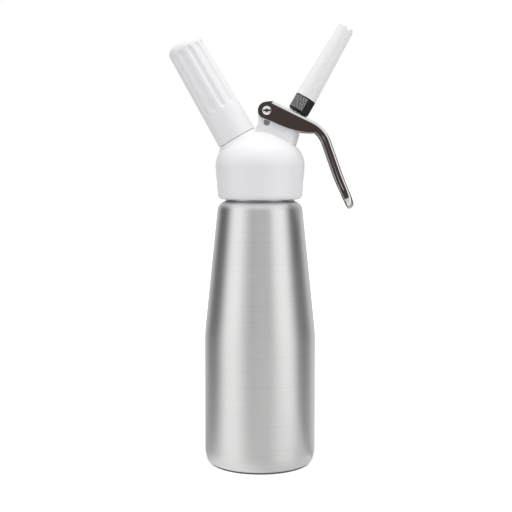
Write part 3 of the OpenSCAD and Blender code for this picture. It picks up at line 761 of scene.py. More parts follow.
@dataclass
class Head:
    """The white head: a dome square to both leaning axes, the boss of the valve and the lever's ear."""

    low: float = 190.7
    skirt: float = 30.3
    lean: float = 3.9
    edge: float = 3.5
    reach: float = 32.75
    dome_round: float = 18.5
    apex_round: float = 10.0
    bore: float = 27.45
    bore_lip: float = 3.0
    ceiling: float = 214.5
    seat: float = 14.3
    seat_fade: float = 2.4
    seat_lift: float = 6.0
    dome_low: float = 24.0
    boss_foot: float = 22.0
    boss_top: float = 41.4
    boss_radius: float = 8.9
    boss_draft: float = 13.4
    half: float = 8.9
    ear_radius: float = 6.05
    ear_edge: float = 0.6
    ear_root: Corners = ((20.2, 241.6, 0), (13.5, 233.0, 0), (-4.6, 233.0, 0), (-3.6, 240.3, 6))
    ear_middle: Sequence[float] = (6.0, 244.0)

    def profile(self) -> Array:
        """Profile of the dome: apex, cone, rounding, skirt and its lip.

        Returns:
            Points (r, z) from the apex to the bore's lip.
        """
        slope = math.tan(math.radians(self.lean))
        s, c = math.sin(TILT), math.cos(TILT)
        z = (self.reach - (self.skirt - slope * self.low) * s + CROSSING * c) / (slope * s + c)
        r = self.skirt + slope * (z - self.low)
        centre = CROSSING + (self.reach - self.apex_round) / c
        turn = np.linspace(QUARTER, QUARTER - TILT, 10)
        apex = np.stack([self.apex_round * np.cos(turn), centre + self.apex_round * np.sin(turn)], -1)
        rest = rounded([[*apex[-1], 0], [r, z, self.dome_round], [self.skirt, self.low, self.edge],
                        [self.bore, self.low, 0.6], [self.bore, self.low + self.bore_lip, 0]],
                       step=0.7, arc_step=2.0)
        return np.concatenate([apex[:-1], rest])

    def seat_land(self, shape: Shape) -> None:
        """Raises the dome to a flat land under the holder.

        A point within the seat's radius moves along the holder's axis up to the plane at the dome's reach.
        The raise fades with a smooth step outside it, so that the land is faired into the dome. Points on
        the lever's side, and those under the dome, stay where they are.

        Args:
            shape: The dome.
        """
        local = Axis.HOLDER.to_local(shape.points)
        away = np.hypot(local[:, 0], local[:, 1])
        fade = 1 - smooth(away, self.seat - 0.1, self.seat + self.seat_fade)
        lift = np.clip(self.reach - local[:, 2], 0, self.seat_lift) * fade
        lift = np.where((local[:, 2] > self.dome_low) & (shape.points[:, 0] < 0), lift, 0)
        shape.points = Axis.HOLDER.to_world(local + np.array([0, 0, 1.0]) * lift[:, None])

    def boss(self) -> Shape:
        """Cone of the valve boss, its sides held between the planes y = +-half with a rounded edge.

        Returns:
            The shape.
        """
        root = self.boss_radius + (self.boss_top - self.boss_foot) * math.tan(math.radians(self.boss_draft))
        profile = rounded([[0, self.boss_foot, 0], [root, self.boss_foot, 0],
                           [self.boss_radius, self.boss_top, 0.7], [0, self.boss_top, 0]], step=0.8)
        shape = revolve(profile, Axis.VALVE, 144, closed=False)
        y = shape.points[:, 1]
        shape.points[:, 1] = np.sign(y) * soft_min(np.abs(y), np.full_like(y, self.half - 0.02), 0.5)
        return shape

    def ear(self) -> Shape:
        """Ear: its outline at each place across, drawn in by a quarter round at both faces.

        The outline is the tangent from the boss's corner, the circle round the pivot and the ear's root.

        Returns:
            The shape.
        """
        px, pz = PIVOT
        r = self.ear_radius
        s, c = math.sin(TILT), math.cos(TILT)
        corner = np.array([self.boss_top * s - self.boss_radius * c,
                           CROSSING + self.boss_top * c + self.boss_radius * s])
        way = corner - np.array(PIVOT)
        touch = math.atan2(way[1], way[0]) + math.acos(r / math.hypot(*way))
        top = np.linspace(math.pi, touch, 40)[:, None]
        outline = np.concatenate([
            np.concatenate([px + r * np.cos(top), pz + r * np.sin(top)], 1),
            rounded([[*corner, 0], *self.ear_root, [px - r, pz - r - 2, 8], [px - r, pz - 1.0, 0]],
                    step=1.0)])
        ahead, behind = np.roll(outline, -1, 0), np.roll(outline, 1, 0)
        along = (ahead - behind) / np.linalg.norm(ahead - behind, axis=1)[:, None]
        inward = np.stack([along[:, 1], -along[:, 0]], -1)
        quarter = np.linspace(0, QUARTER, 5)
        inset = self.ear_edge * (1 - np.sin(quarter))
        middle = np.broadcast_to(np.array(self.ear_middle), outline.shape)
        faces = [middle] + [outline + inward * d for d in inset]
        places = np.concatenate([[self.half], self.half - self.ear_edge * (1 - np.cos(quarter))])
        rows = np.stack(faces + faces[::-1])
        y = np.broadcast_to(np.concatenate([places, -places[::-1]])[:, None], rows.shape[:2])
        return Shape.grid(np.stack([rows[..., 0], y, rows[..., 1]], -1))

    def build(self) -> None:
        """Makes the dome with the bore under it, the boss and the ear."""
        inside = rounded([[self.bore, self.low + self.bore_lip + 0.1, 0], [self.bore, self.ceiling, 0.8],
                          [0, self.ceiling, 0]], step=4.0)
        dome = revolve(np.concatenate([self.profile(), inside]), segments=240, closed=False)
        self.seat_land(dome)
        dome.piece("head_dome", WHITE, "head", ["head_housing"], sharp=50.0)
        self.boss().piece("valve_boss", WHITE, "head", sharp=50.0)
        self.ear().piece("lever_ear", WHITE, "head", sharp=50.0)


@dataclass
class ChargerHolder:
    """The cap over the gas charger, with finger flutes round it."""

    mouth: float = 33.05
    end: float = 111.05
    mouth_radius: float = 14.4
    end_radius: float = 13.0
    end_round: float = 5.0
    bore: float = 10.25
    bore_end: float = 108.5
    flutes: int = 12
    turn: float = -78.5
    band: float = 23.0
    flute_length: float = 44.3
    flute_radius: float = 3.0
    flute_depth: float = 1.1
    flute_edge: float = 0.3

    def flute(self, r: Array, t: Array, a: Array) -> Array:
        """Radius with the flutes cut in.

        A flute is what a ball-nosed cutter of radius f leaves whose middle runs c off the axis. Along the
        direction q from its middle, and w past the end of its run, its wall lies at
        c cos q - sqrt(f^2 - (c sin q)^2 - w^2).

        Args:
            r: Radius of the plain holder.
            t: Place along the axis.
            a: Angle round the axis.

        Returns:
            The radius.
        """
        f = self.flute_radius
        pitch = 2 * math.pi / self.flutes
        q = (a - math.radians(self.turn) + pitch / 2) % pitch - pitch / 2
        slope = (self.end_radius - self.mouth_radius) / (self.end - self.mouth)
        c = self.mouth_radius + slope * (t - self.mouth) + f - self.flute_depth
        first = self.mouth + self.band + math.sqrt(2 * f * self.flute_depth - self.flute_depth ** 2)
        past = np.maximum(0, np.maximum(first - t, t - first - self.flute_length))
        room = f * f - (c * np.sin(q)) ** 2 - past ** 2
        hollow = np.where(room > 0, c * np.cos(q) - np.sqrt(np.maximum(room, 0)), r + 1)
        outer = (r > self.bore + 0.8) & (t > self.mouth + 4) & (t < self.end - 2.0)
        return np.where(outer, soft_min(r, hollow, self.flute_edge), r)

    def build(self) -> None:
        """Revolves the fluted wall and its bore."""
        profile = rounded([[0, self.end, 0], [self.end_radius, self.end - 1, self.end_round],
                           [self.mouth_radius, self.mouth, 0.45], [self.bore, self.mouth, 0.4],
                           [self.bore, self.bore_end, 0.6], [0, self.bore_end, 0]], step=0.72, arc_step=4.0)
        shape = revolve(profile, Axis.HOLDER, 300, closed=False, relief=self.flute)
        shape.piece("fluted_holder", WHITE, "holder", ["charger_holder"], sharp=60.0)


@dataclass
class Nozzle:
    """The knurled collar and the notched decorating nozzle."""

    collar_low: float = 53.64
    collar_high: float = 65.64
    collar_radius: float = 7.6
    collar_bore: float = 4.3
    collar_floor: float = 59.44
    chamfer: float = 1.2
    knurls: int = 34
    knurl_depth: float = 0.18
    knurl_slope: float = 0.75
    foot: float = 60.84
    tip: float = 123.04
    root_radius: float = 6.0
    tip_radius: float = 5.8
    wall: float = 1.2
    lip: float = 0.25
    teeth: int = 6
    notch: float = 2.8
    notch_width: float = 4.2
    notch_turn: float = -75.0

    def collar(self) -> Shape:
        """Collar with a diamond knurl.

        The knurl is the lesser of two triangle waves that wind to the left and to the right, cut into the
        radius; its height is kept as the crest attribute.

        Returns:
            The shape.
        """
        low, high, r = self.collar_low, self.collar_high, self.collar_radius
        hole = self.root_radius + 0.05
        profile = rounded([[self.collar_bore, low, 0.2], [r - self.chamfer, low, 0.2],
                           [r, low + self.chamfer, 0.25], [r, high, 0.35], [hole, high, 0.2],
                           [hole, self.collar_floor, 0], [self.collar_bore, self.collar_floor, 0.0]],
                          closed=True, step=0.14)
        lead = 2 * math.pi * r / self.knurls
        waves: dict[str, Array] = {}

        def knurl(radius: Array, z: Array, a: Array) -> Array:
            """Cuts the grooves.

            Args:
                radius: Radius of the plain collar.
                z: Place along the axis.
                a: Angle round the axis.

            Returns:
                The radius less the knurl's depth times how far the nearer groove cuts in.
            """
            around = a * self.knurls / (2 * math.pi)
            climb = z / lead * self.knurl_slope
            right = np.abs((around + climb) % 1.0 - 0.5) * 2
            left = np.abs((around - climb) % 1.0 - 0.5) * 2
            height = np.minimum(1 - right, 1 - left)
            band = smooth(z, low + self.chamfer + 0.5, low + self.chamfer + 0.8) \
                * (1 - smooth(z, high - 0.8, high - 0.5)) * (np.abs(radius - r) < 0.01)
            waves["crest"] = np.where(band > 0, height * band, 0.0)
            return radius - self.knurl_depth * band * (1 - smooth(height, 0.0, 0.75))

        shape = revolve(profile, Axis.VALVE, self.knurls * 10, relief=knurl)
        shape.crest = waves["crest"]
        return shape

    def cone(self) -> Shape:
        """Nozzle whose rows run from the collar to a notched rim.

        The rim stands at tip - notch max(0, 1 - 2 d / width), where d is the distance round the rim from the
        nearest notch, and every row between collar and rim is drawn down in proportion.

        Returns:
            The shape.
        """
        angle = circle(self.teeth * 30)
        pitch = 2 * math.pi / self.teeth
        d = np.abs((angle - math.radians(self.notch_turn) + pitch / 2) % pitch - pitch / 2) * self.tip_radius
        rim = self.tip - self.notch * np.maximum(0, 1 - 2 * d / self.notch_width)
        high = self.collar_high

        def wall(radius: Callable[[Array], Array], low: float, rows: int) -> Array:
            """Rows (radius, place) from low to the rim."""
            place = low + (rim[None] - self.lip - low) * np.linspace(0, 1, rows)[:, None]
            return np.stack([radius(place), place], -1)

        def outer(t: Array) -> Array:
            """Outer radius at a place."""
            k = (t - high) / (self.tip - high)
            return self.collar_radius + (self.tip_radius - self.collar_radius) * k

        def inner(t: Array) -> Array:
            """Inner radius at a place."""
            k = (t - self.foot) / (self.tip - self.foot)
            return (self.root_radius - self.wall) * (1 - k) + (self.tip_radius - self.wall) * k

        turn = np.linspace(0, math.pi, 7)[1:-1, None]
        last = rim - self.lip
        middle, width = (outer(last) + inner(last)) / 2, (outer(last) - inner(last)) / 2
        lip = np.stack([middle + width * np.cos(turn), last + self.lip * np.sin(turn) + 0 * middle], -1)
        foot = rounded([[self.root_radius - self.wall, self.foot, 0.2], [self.root_radius, self.foot, 0.3],
                        [self.root_radius, high + 0.05, 0.1], [self.collar_radius, high + 0.05, 0.25],
                        [self.collar_radius - 0.02, high + 0.6, 0]], step=1.5, arc_step=30.0)
        base = np.broadcast_to(foot[:, None], (len(foot), len(angle), 2))
        rows = np.concatenate([base, wall(outer, high + 0.8, 40), lip,
                               wall(inner, self.foot + 0.3, 24)[::-1]])
        points = polar(rows[..., 0], angle, rows[..., 1])
        return Shape.grid(Axis.VALVE.to_world(points), wrap_rows=True)

    def build(self) -> None:
        """Makes the collar and the nozzle."""
        self.collar().piece("knurled_collar", COLLAR_BLACK, "nozzle", ["nozzle_collar"], sharp=30.0)
        self.cone().piece("notched_nozzle", NOZZLE_WHITE, "nozzle", ["decorator_nozzle"], sharp=40.0)


@dataclass
class Lever:
    """The pressed lever: a channel that follows its back line, with deep cheeks round the pivot."""

    web_tilt: float = 26.0
    reach: float = 7.9
    start: float = 1.2
    bend_at: float = 43.0
    bend: float = 26.0
    handle_tilt: float = 70.4
    handle: float = 37.0
    knee: float = 150.0
    grip_tilt: float = 67.0
    grip: float = 23.3
    half: float = 10.7
    sheet: float = 1.5
    edge: float = 0.28
    corner: float = 2.1
    tip_corner: float = 3.4
    cheek_radius: float = 6.3
    cheek_depth: float = 13.5
    fall: float = 31.0
    fall_gap: float = 3.6
    depth: float = 5.8
    tip_depth: float = 5.2
    tip_round: float = 8.0
    tip_stretch: float = 1.08
    fold: float = 0.13
    fold_at: float = 1.9
    fold_width: float = 0.25
    press: float = 9.0
    slot_radius: float = 4.45
    slot_draw: float = 0.6
    first: float = field(init=False)
    end: float = field(init=False)
    stations: Array = field(init=False)
    back: Array = field(init=False)
    lean: Array = field(init=False)

    def __post_init__(self) -> None:
        """Lays out the back line.

        Its slope turns evenly through the bend and back through the knee, and its points are the running sum
        of (cos, -sin) of the slope along it, from the foot of the pivot's perpendicular.
        """
        tilt = math.radians(self.web_tilt)
        turn = math.radians(self.handle_tilt - self.web_tilt)
        back = math.radians(self.handle_tilt - self.grip_tilt)
        bend_side, knee_side = self.bend * math.tan(turn / 2), self.knee * math.tan(back / 2)
        self.first = self.bend_at - bend_side
        second = self.first + self.bend * turn + self.handle - bend_side - knee_side
        self.end = second + self.knee * back + self.grip - knee_side
        s = np.linspace(-12.0, self.end + 6.0, 6001)
        self.lean = tilt + turn * np.clip((s - self.first) / (self.bend * turn), 0, 1) \
            - back * np.clip((s - second) / (self.knee * back), 0, 1)
        way = np.stack([np.cos(self.lean), -np.sin(self.lean)], -1)
        line = np.concatenate([np.zeros((1, 2)), np.cumsum((way[1:] + way[:-1]) / 2 * (s[1] - s[0]), 0)])
        zero = np.array([np.interp(0.0, s, line[:, 0]), np.interp(0.0, s, line[:, 1])])
        foot = np.array(PIVOT) + self.reach * np.array([math.sin(tilt), math.cos(tilt)])
        self.stations, self.back = s, line - zero + foot

    def world(self, s: Array, y: Array, d: Array) -> Array:
        """Places points along the back line.

        Args:
            s: Their stations, the distance along the line.
            y: Their places across.
            d: Their depths inward from the back.

        Returns:
            The points.
        """
        lean = np.interp(s, self.stations, self.lean)
        x = np.interp(s, self.stations, self.back[:, 0]) - d * np.sin(lean)
        z = np.interp(s, self.stations, self.back[:, 1]) - d * np.cos(lean)
        return np.stack([x, y, z], -1)

    def cheek_line(self, s: Array) -> Array:
        """Depth of the cheeks' free edge: the pivot's circle, a cubic fall and the even channel.

        Args:
            s: The stations.

        Returns:
            The depth at each.
        """
        stop, fall = self.bend_at - self.fall_gap, self.fall
        knots = np.array([[stop - fall, self.cheek_depth], [stop - fall / 2, self.cheek_depth],
                          [stop - fall / 5, (self.cheek_depth + self.depth) / 2], [stop, self.depth]])
        k = np.linspace(0, 1, 60)[:, None]
        line = (1 - k) ** 3 * knots[0] + 3 * k * (1 - k) ** 2 * knots[1] \
            + 3 * k * k * (1 - k) * knots[2] + k ** 3 * knots[3]
        over, rest = line[:, 0] - self.first, self.bend - line[:, 1]
        bent = np.where(over > 0, self.first + self.bend * np.arctan2(over, rest), line[:, 0])
        deep = np.where(over > 0, self.bend - np.hypot(np.maximum(over, 0), rest), line[:, 1])
        cheek = np.interp(s, np.append(0.0, bent), np.append(self.reach + self.cheek_radius, deep), right=0.0)
        channel = np.interp(s, [self.end - 20, self.end], [self.depth, self.tip_depth])
        arc = self.reach + np.sqrt(np.maximum(self.cheek_radius ** 2 - s ** 2, 0))
        return np.where(s < 0, arc, np.maximum(cheek, channel))

    def top_line(self, s: Array) -> Array:
        """Depth of the cheeks' upper edge round the pivot: its circle, then a straight rise to the web.

        Args:
            s: The stations.

        Returns:
            The depth at each, 0 from the web's start on.
        """
        r = self.cheek_radius
        meet = -r * math.sin(math.radians(self.web_tilt))
        meet_top = self.reach - math.sqrt(r * r - meet * meet)
        rise = np.clip(meet_top * (self.start - s) / (self.start - meet), 0, None)
        return np.where(s < meet, self.reach - np.sqrt(np.maximum(r * r - s ** 2, 0)), rise)

    def outline(self) -> tuple[Array, Array, Array, Array]:
        """Outline seen from the back: straight sides, and a quarter of an ellipse at the grip's end.

        Returns:
            Columns of its stations, of its places across, and of its inward directions along and across.
        """
        round_pivot = -self.cheek_radius * np.cos(np.linspace(0, QUARTER, 14))
        along = self.tip_round * self.tip_stretch
        plain = np.concatenate([round_pivot[:-1], np.linspace(0, self.start, 4)[:-1],
                                np.linspace(self.start, self.end - along, 150)])
        turn = np.linspace(0, QUARTER, 22)[1:]
        flat = self.half - self.tip_round
        s = np.concatenate([plain, self.end - along + along * np.sin(turn)])
        y = np.concatenate([np.full(len(plain), self.half), flat + self.tip_round * np.cos(turn)])
        step = np.gradient(np.stack([s, -y], -1), axis=0)
        step[: len(plain)] = (1.0, 0.0)
        step[-1] = (0.0, 1.0)
        step /= np.maximum(np.linalg.norm(step, axis=1), 1e-9)[:, None]
        return s[:, None], y[:, None], -step[:, 1:], step[:, :1]

    def channel(self) -> Shape:
        """Makes the sheet as a grid of stations by places across, without its thickness.

        At each station the sheet runs from one cheek's free edge, past the fold along the grip, up to the
        corner's rounding, across the back and down the other side. Round the pivot only the cheeks exist,
        and a wall closes the grip's end.

        Returns:
            The shape.
        """
        edge_s, edge_y, in_s, in_y = self.outline()
        tip = smooth(edge_s, self.end - 14, self.end - 1)
        corner = self.corner + (self.tip_corner - self.corner) * tip
        low, top = self.cheek_line(edge_s), self.top_line(edge_s)
        web = edge_s >= self.start - 1e-6
        middle = np.where(web, corner, np.maximum(np.minimum(corner, low), top))
        wall_d = low + (middle - low) * np.linspace(0, 1, 16)
        wall_s = np.broadcast_to(edge_s, wall_d.shape)
        wall_y = edge_y - self.fold * smooth(edge_s, self.bend_at - 2, self.bend_at + 6) \
            * (1 - smooth(edge_s, self.end - 16, self.end - 11)) \
            * smooth(wall_d, low - self.fold_at - self.fold_width, low - self.fold_at + self.fold_width)
        q = np.linspace(0, QUARTER, 9)[1:]
        bend_in = np.where(web, corner * (1 - np.cos(q)), 0)
        bend_d = np.where(web, corner * (1 - np.sin(q)), middle + (top - middle) * np.linspace(0, 1, 9)[1:])
        bend_s, bend_y = edge_s + bend_in * in_s, edge_y - bend_in * in_y
        places = np.linspace(1, -1, 41)
        web_y = bend_y[:, -1:] * places[1:-1]
        web_s, web_d = (np.broadcast_to(v[:, -1:], web_y.shape) for v in (bend_s, bend_d))

        def both(wall: Array, bend: Array, back: Array, sign: int = 1) -> Array:
            """A row across: one side times the sign, the back times the sign, and the other side."""
            return np.concatenate([sign * wall, sign * bend, sign * back, bend[:, ::-1], wall[:, ::-1]], 1)

        s, d = both(wall_s, bend_s, web_s), both(wall_d, bend_d, web_d)
        y = both(wall_y, bend_y, web_y, -1)
        side = wall_d.shape[1] + bend_d.shape[1]
        keep = np.ones((len(s) - 1, s.shape[1] - 1), bool)
        keep[: int(np.argmax(web)), side - 1: s.shape[1] - side] = False
        shape = Shape.grid(self.world(s, y, d), wrap_columns=False, keep=keep)
        flat = (self.half - self.tip_round) * places[None]
        end = np.broadcast_arrays(s[-1, :side, None], flat, d[-1, :side, None])
        return shape.join(Shape.grid(self.world(*end), wrap_columns=False))

    def build(self) -> None:
        """Thickens the sheet, cuts the stem's slot and breaks the edges."""
        piece = self.channel().piece("lever_channel", LEVER_CHROME, "lever", ["lever"], sharp=40.0)
        modify(piece, "SOLIDIFY", thickness=self.sheet * MM, offset=1.0, use_even_offset=True)
        self.cut_slot(piece)
        weld(piece.data)
        modify(piece, "BEVEL", width=self.edge * MM, segments=2, limit_method="ANGLE",
               angle_limit=math.radians(50))
        dress(piece, LEVER_CHROME, "lever", ["lever"], sharp=30.0)

    def cut_slot(self, piece: bpy.types.Object) -> None:
        """Cuts the stem's slot through the back, where the stem passes it at half the lever's travel.

        Args:
            piece: The lever.
        """
        a = math.radians(self.web_tilt + self.press / 2)
        px, pz = PIVOT
        rise = pz - CROSSING
        t = (self.reach + px * math.sin(a) + rise * math.cos(a)) / math.cos(TILT - a)
        s = (t * math.sin(TILT) - px) * math.cos(a) - (t * math.cos(TILT) - rise) * math.sin(a)
        turn = circle(64)
        along = s + self.slot_radius * np.cos(turn) + self.slot_draw * np.sign(np.cos(turn))
        depth = np.array([-4.0, 6.0])[:, None]
        wall = self.world(*np.broadcast_arrays(along, self.slot_radius * np.sin(turn), depth))
        cutter = Shape.grid(capped(wall)).piece("slot_cutter", LEVER_CHROME, "lever")
        modify(piece, "BOOLEAN", operation="DIFFERENCE", object=cutter, solver="EXACT")
        bpy.data.objects.remove(cutter)


@dataclass
class PivotFasteners:
    """The slotted pivot screw with its nut, on an axis across the head, and the dowel under them."""

    cheek: float = 10.75
    head_radius: float = 3.15
    head_height: float = 1.5
    slot: float = 1.45
    dimple: float = 1.25
    cut: float = 0.34
    shank: float = 2.0
    shank_end: float = 13.1
    nut_radius: float = 3.7
    nut_height: float = 2.4
    nut_gap: float = 0.06
    dowel_radius: float = 2.4
    dowel_half: float = 8.93
    dowel_drop: float = 8.3

    def screw(self) -> Shape:
        """Head as a height over the disc.

        A dome h - (R - sqrt(R^2 - q^2)) of radius R through the rim, less a slot |v| < slot / 2 and a round
        dimple at its middle, both cut to the same share of its height.

        Returns:
            The shape, with its shank.
        """
        big = (self.head_radius ** 2 + self.head_height ** 2) / (2 * self.head_height)
        q, a = np.linspace(0, self.head_radius, 70)[:, None], circle(160)[None]
        dome = self.head_height - (big - np.sqrt(big * big - q * q)) + 0 * a
        floor = self.head_height * self.cut
        wall = smooth(np.abs(q * np.sin(a)), self.slot / 2 - 0.05, self.slot / 2 + 0.06) \
            * smooth(q, self.dimple - 0.06, self.dimple + 0.05)
        height = np.where(dome > floor, floor + (dome - floor) * wall, dome)
        end = self.shank_end
        shank = [(self.head_radius, -self.cheek), (self.shank, -self.cheek + 0.1), (self.shank, end - 0.2),
                 (self.shank - 0.3, end), (0.0, end)]
        rest = [across(r, a, y) for r, y in shank]
        return Shape.grid(np.concatenate([across(q, a, -self.cheek - height), *rest]))

    def nut(self) -> Shape:
        """Six-sided ring whose corners are cut by a cone at its outer face.

        The side stands at f / cos(a - nearest flat), f the distance of the flats, and the outer face falls
        by 0.5 (q - f) outside the flats.

        Returns:
            The shape.
        """
        f, hole = self.nut_radius * math.cos(math.pi / 6), self.shank + self.nut_gap
        a = circle(144)[None]
        side = f / np.cos((a + math.pi / 6) % (math.pi / 3) - math.pi / 6)
        low, high = self.cheek, self.cheek + self.nut_height
        face = [hole + (side - self.shank - self.nut_gap) * q for q in np.linspace(0, 1, 6)]
        rows = [across(r, a, high - 0.5 * np.maximum(r - f, 0)) for r in face]
        rows += [across(side, a, low + 0.3 * np.maximum(side - f, 0)), across(f, a, low),
                 across(hole, a, low)]
        return Shape.grid(np.concatenate(rows), wrap_rows=True)

    def dowel(self) -> Shape:
        """Dowel across the ear, with chamfered ends.

        Returns:
            The shape.
        """
        r, y = self.dowel_radius, self.dowel_half
        half = [(0.0, y), (r - 0.12, y), (r, y - 0.09)]
        a, ends = circle(72)[None], [(q, -y) for q, y in half] + half[::-1]
        return Shape.grid(np.concatenate([across(q, a, y, self.dowel_drop) for q, y in ends]))

    def build(self) -> None:
        """Makes the screw, the nut and the dowel."""
        self.screw().piece("slotted_screw", SCREW_CHROME, "head", ["pivot_screw"], sharp=40.0)
        self.nut().piece("hex_nut", SCREW_CHROME, "head", ["pivot_nut"], sharp=25.0)
        self.dowel().piece("ear_dowel", DOWEL_STEEL, "head", ["dowel_pin"], sharp=25.0)


@dataclass
class ValveSpring:
    """The valve's compression spring, its end turns closed."""

    low: float = 20.0
    height: float = 12.6
    travel: float = 3.09
    radius: float = 4.95
    wire: float = 0.35
    turns: float = 6.0
    closed_turns: float = 0.9
    closed_pitch: float = 2.6

    def build(self) -> None:
        """Carries the wire's circle along the helix (r cos a, r sin a, climb), nearly square to it."""
        k = np.linspace(0, 1, 6 * 28 + 1)[:, None]
        b = circle(10)[None]
        closed, rise = self.closed_turns / self.turns, self.closed_pitch * self.wire
        whole = self.height - 2 * self.wire
        climb = np.interp(k, [0, closed, 1 - closed, 1], [0, rise, whole - rise, whole])
        z = self.low + self.wire + climb + self.wire * np.sin(b)
        points = polar(self.radius + self.wire * np.cos(b), 2 * math.pi * self.turns * k, z)
        shape = Shape.grid(Axis.VALVE.to_world(capped(points)))
        piece = shape.piece("valve_coil", SPRING_STEEL, "head", ["valve_spring"])
        anchor = tuple(Axis.VALVE.to_world(np.array([0.0, 0.0, self.low])) * MM)
        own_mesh(piece)


@dataclass
class CheckValve:
    """The one-way valve in the gas passage, a lipped rubber plug that stands off the bottle's axis."""

    low: float = 214.2
    high: float = 218.7
    radius: float = 3.0
    dent: float = 0.7
    dent_depth: float = 1.3
    aside: float = 12.0

    def build(self) -> None:
        """Turns the plug and moves it aside."""
        root = self.low + self.dent_depth
        profile = rounded([[0, root, 0], [self.dent, root, 0.2], [self.dent, self.low, 0.3],
                           [self.radius, self.low, 0.3], [self.radius, self.high, 0.4], [0, self.high, 0]],
                          step=1.0)
        shape = revolve(profile, segments=48, closed=False)
        shape.points[:, 0] -= self.aside
        shape.piece("gas_check_valve", RED_SILICONE, "head", ["check_valve"])


@dataclass
class StemSeal:
    """The sealing ring in the guide bush: a circle turned about the valve's axis."""

    radius: float = 4.66
    place: float = 37.7
    cord: float = 0.6

    def build(self) -> None:
        """Turns the circle (radius + cord cos b, place + cord sin b)."""
        b = circle(20)
        profile = np.stack([self.radius + self.cord * np.cos(b), self.place + self.cord * np.sin(b)], -1)
        revolve(profile, Axis.VALVE, 64).piece("stem_ring", BLACK_RUBBER, "head", ["stem_seal"], sharp=80.0)


@dataclass
class Turned:
    """A round piece: its closed profile in (radius, place, rounding), with an optional thread."""

    name: str
    body: str
    axis: Axis
    finish: Finish
    corners: Corners
    thread: Optional[Thread] = None
    segments: int = 64

    def build(self) -> None:
        """Turns the profile and puts the piece in the place of the node of the same name."""
        step = self.thread.pitch / 10 if self.thread else 4.0
        profile = rounded(self.corners, closed=True, step=step, arc_step=15.0)
        shape = revolve(profile, self.axis, self.segments, relief=self.thread)
        shape.piece(f"{self.name}_turned", self.finish, self.body, [self.name])


def small_parts() -> list[Turned]:
    """The round pieces inside and between the main ones.

    Returns:
        The pieces, ready to build.
    """
    up, valve, gas = Axis.UPRIGHT, Axis.VALVE, Axis.HOLDER
    return [
        Turned("head_gasket", "neck_seal", up, CLEAR_SILICONE, ring(20.5, 24.7, 212.0, 214.48, 0.5)),
        Turned("thread_insert", "head", up, INSERT_METAL, ring(25.0, 27.4, 191.3, 214.45, 0.4),
               Thread(25.0, 192.0, 208.0, pitch=4.0, depth=0.7, inside=True), 120),
        Turned("charger_stub", "head", gas, TILTED_ALUMINIUM, [
            [1.5, 24.0, 0], [9.05, 24.0, 0.3], [9.05, 43.4, 0.5], [5.0, 43.4, 0.2], [5.0, 40.8, 0],
            [3.25, 40.8, 0], [3.25, 31.8, 0], [1.5, 31.8, 0]],
            Thread(9.05, 33.6, 43.0, pitch=2.0, depth=0.45), 96),
        Turned("piercing_pin_screw", "head", gas, PIN_BRASS, [
            [1.05, 31.8, 0], [3.2, 31.8, 0.3], [3.2, 40.8, 0], [4.9, 40.8, 0.1], [4.9, 41.6, 0.2],
            [1.05, 41.6, 0.1]]),
        Turned("piercing_pin", "head", gas, SPRING_STEEL, [
            [0.4, 31.8, 0], [1.0, 31.8, 0.1], [1.0, 46.0, 0.1], [0.45, 47.5, 0], [0.4, 47.5, 0]]),
        Turned("charger_seal", "head", gas, BLACK_RUBBER, ring(1.3, 4.9, 41.6, 43.2, 0.4)),
        Turned("holder_sleeve", "holder", gas, TILTED_ALUMINIUM, ring(9.35, 10.2, 33.35, 108.45, 0.25),
               Thread(9.35, 33.7, 44.0, pitch=2.0, depth=0.4, inside=True), 96),
        Turned("gas_charger", "charger", gas, CHARGER_STEEL, [
            [1.3, 43.2, 0], [4.3, 43.2, 0.6], [4.3, 51.6, 1.0], [9.0, 56.3, 3.0], [9.0, 108.2, 7.0],
            [0.0, 108.2, 0], [0.0, 106.6, 0], [7.4, 106.6, 5.4], [7.4, 57.2, 2.0], [2.7, 52.4, 0.6],
            [2.7, 44.8, 0.2], [1.3, 44.8, 0]]),
        Turned("valve_body", "head", valve, VALVE_BRASS, [
            [4.3, 12.1, 0], [5.9, 12.1, 0], [5.9, 10.02, 0.1], [6.8, 10.02, 0.3], [6.8, 41.35, 0.1],
            [5.9, 41.35, 0.1], [5.9, 20.0, 0.2], [4.3, 20.0, 0.2]]),
        Turned("valve_guide_bush", "head", valve, VALVE_BRASS, [
            [4.05, 34.0, 0.2], [5.85, 34.0, 0.2], [5.85, 41.42, 0], [7.5, 41.42, 0.2], [7.5, 42.6, 0.4],
            [4.05, 42.6, 0.3], [4.05, 38.4, 0], [5.3, 38.4, 0], [5.3, 37.0, 0], [4.05, 37.0, 0]]),
        Turned("valve_seat_gasket", "head", valve, BLACK_RUBBER, ring(4.3, 5.85, 9.72, 12.0, 0.25)),
        Turned("valve_stem", "valve", valve, STEM_STEEL, [
            [2.2, 9.67, 0.1], [4.0, 9.67, 0.2], [4.0, 48.0, 0.3], [5.6, 48.0, 0.4], [5.6, 50.6, 0.5],
            [4.0, 50.6, 0.2], [4.0, 59.4, 0.4], [2.2, 59.4, 0.2]]),
        Turned("valve_poppet", "valve", valve, STEM_STEEL, [
            [0, 7.47, 0], [5.6, 7.47, 0.5], [5.6, 9.67, 0.3], [2.15, 9.67, 0], [2.15, 10.07, 0.1],
            [0, 10.07, 0]]),
        Turned("spring_clip", "valve", valve, SPRING_STEEL, ring(4.05, 5.6, 32.6, 33.4)),
        Turned("nozzle_seal", "stem_end_seal", valve, CLEAR_SILICONE, ring(2.2, 6.0, 59.45, 60.83, 0.4)),
    ]


# ---------------------------------------------------------------------- studio


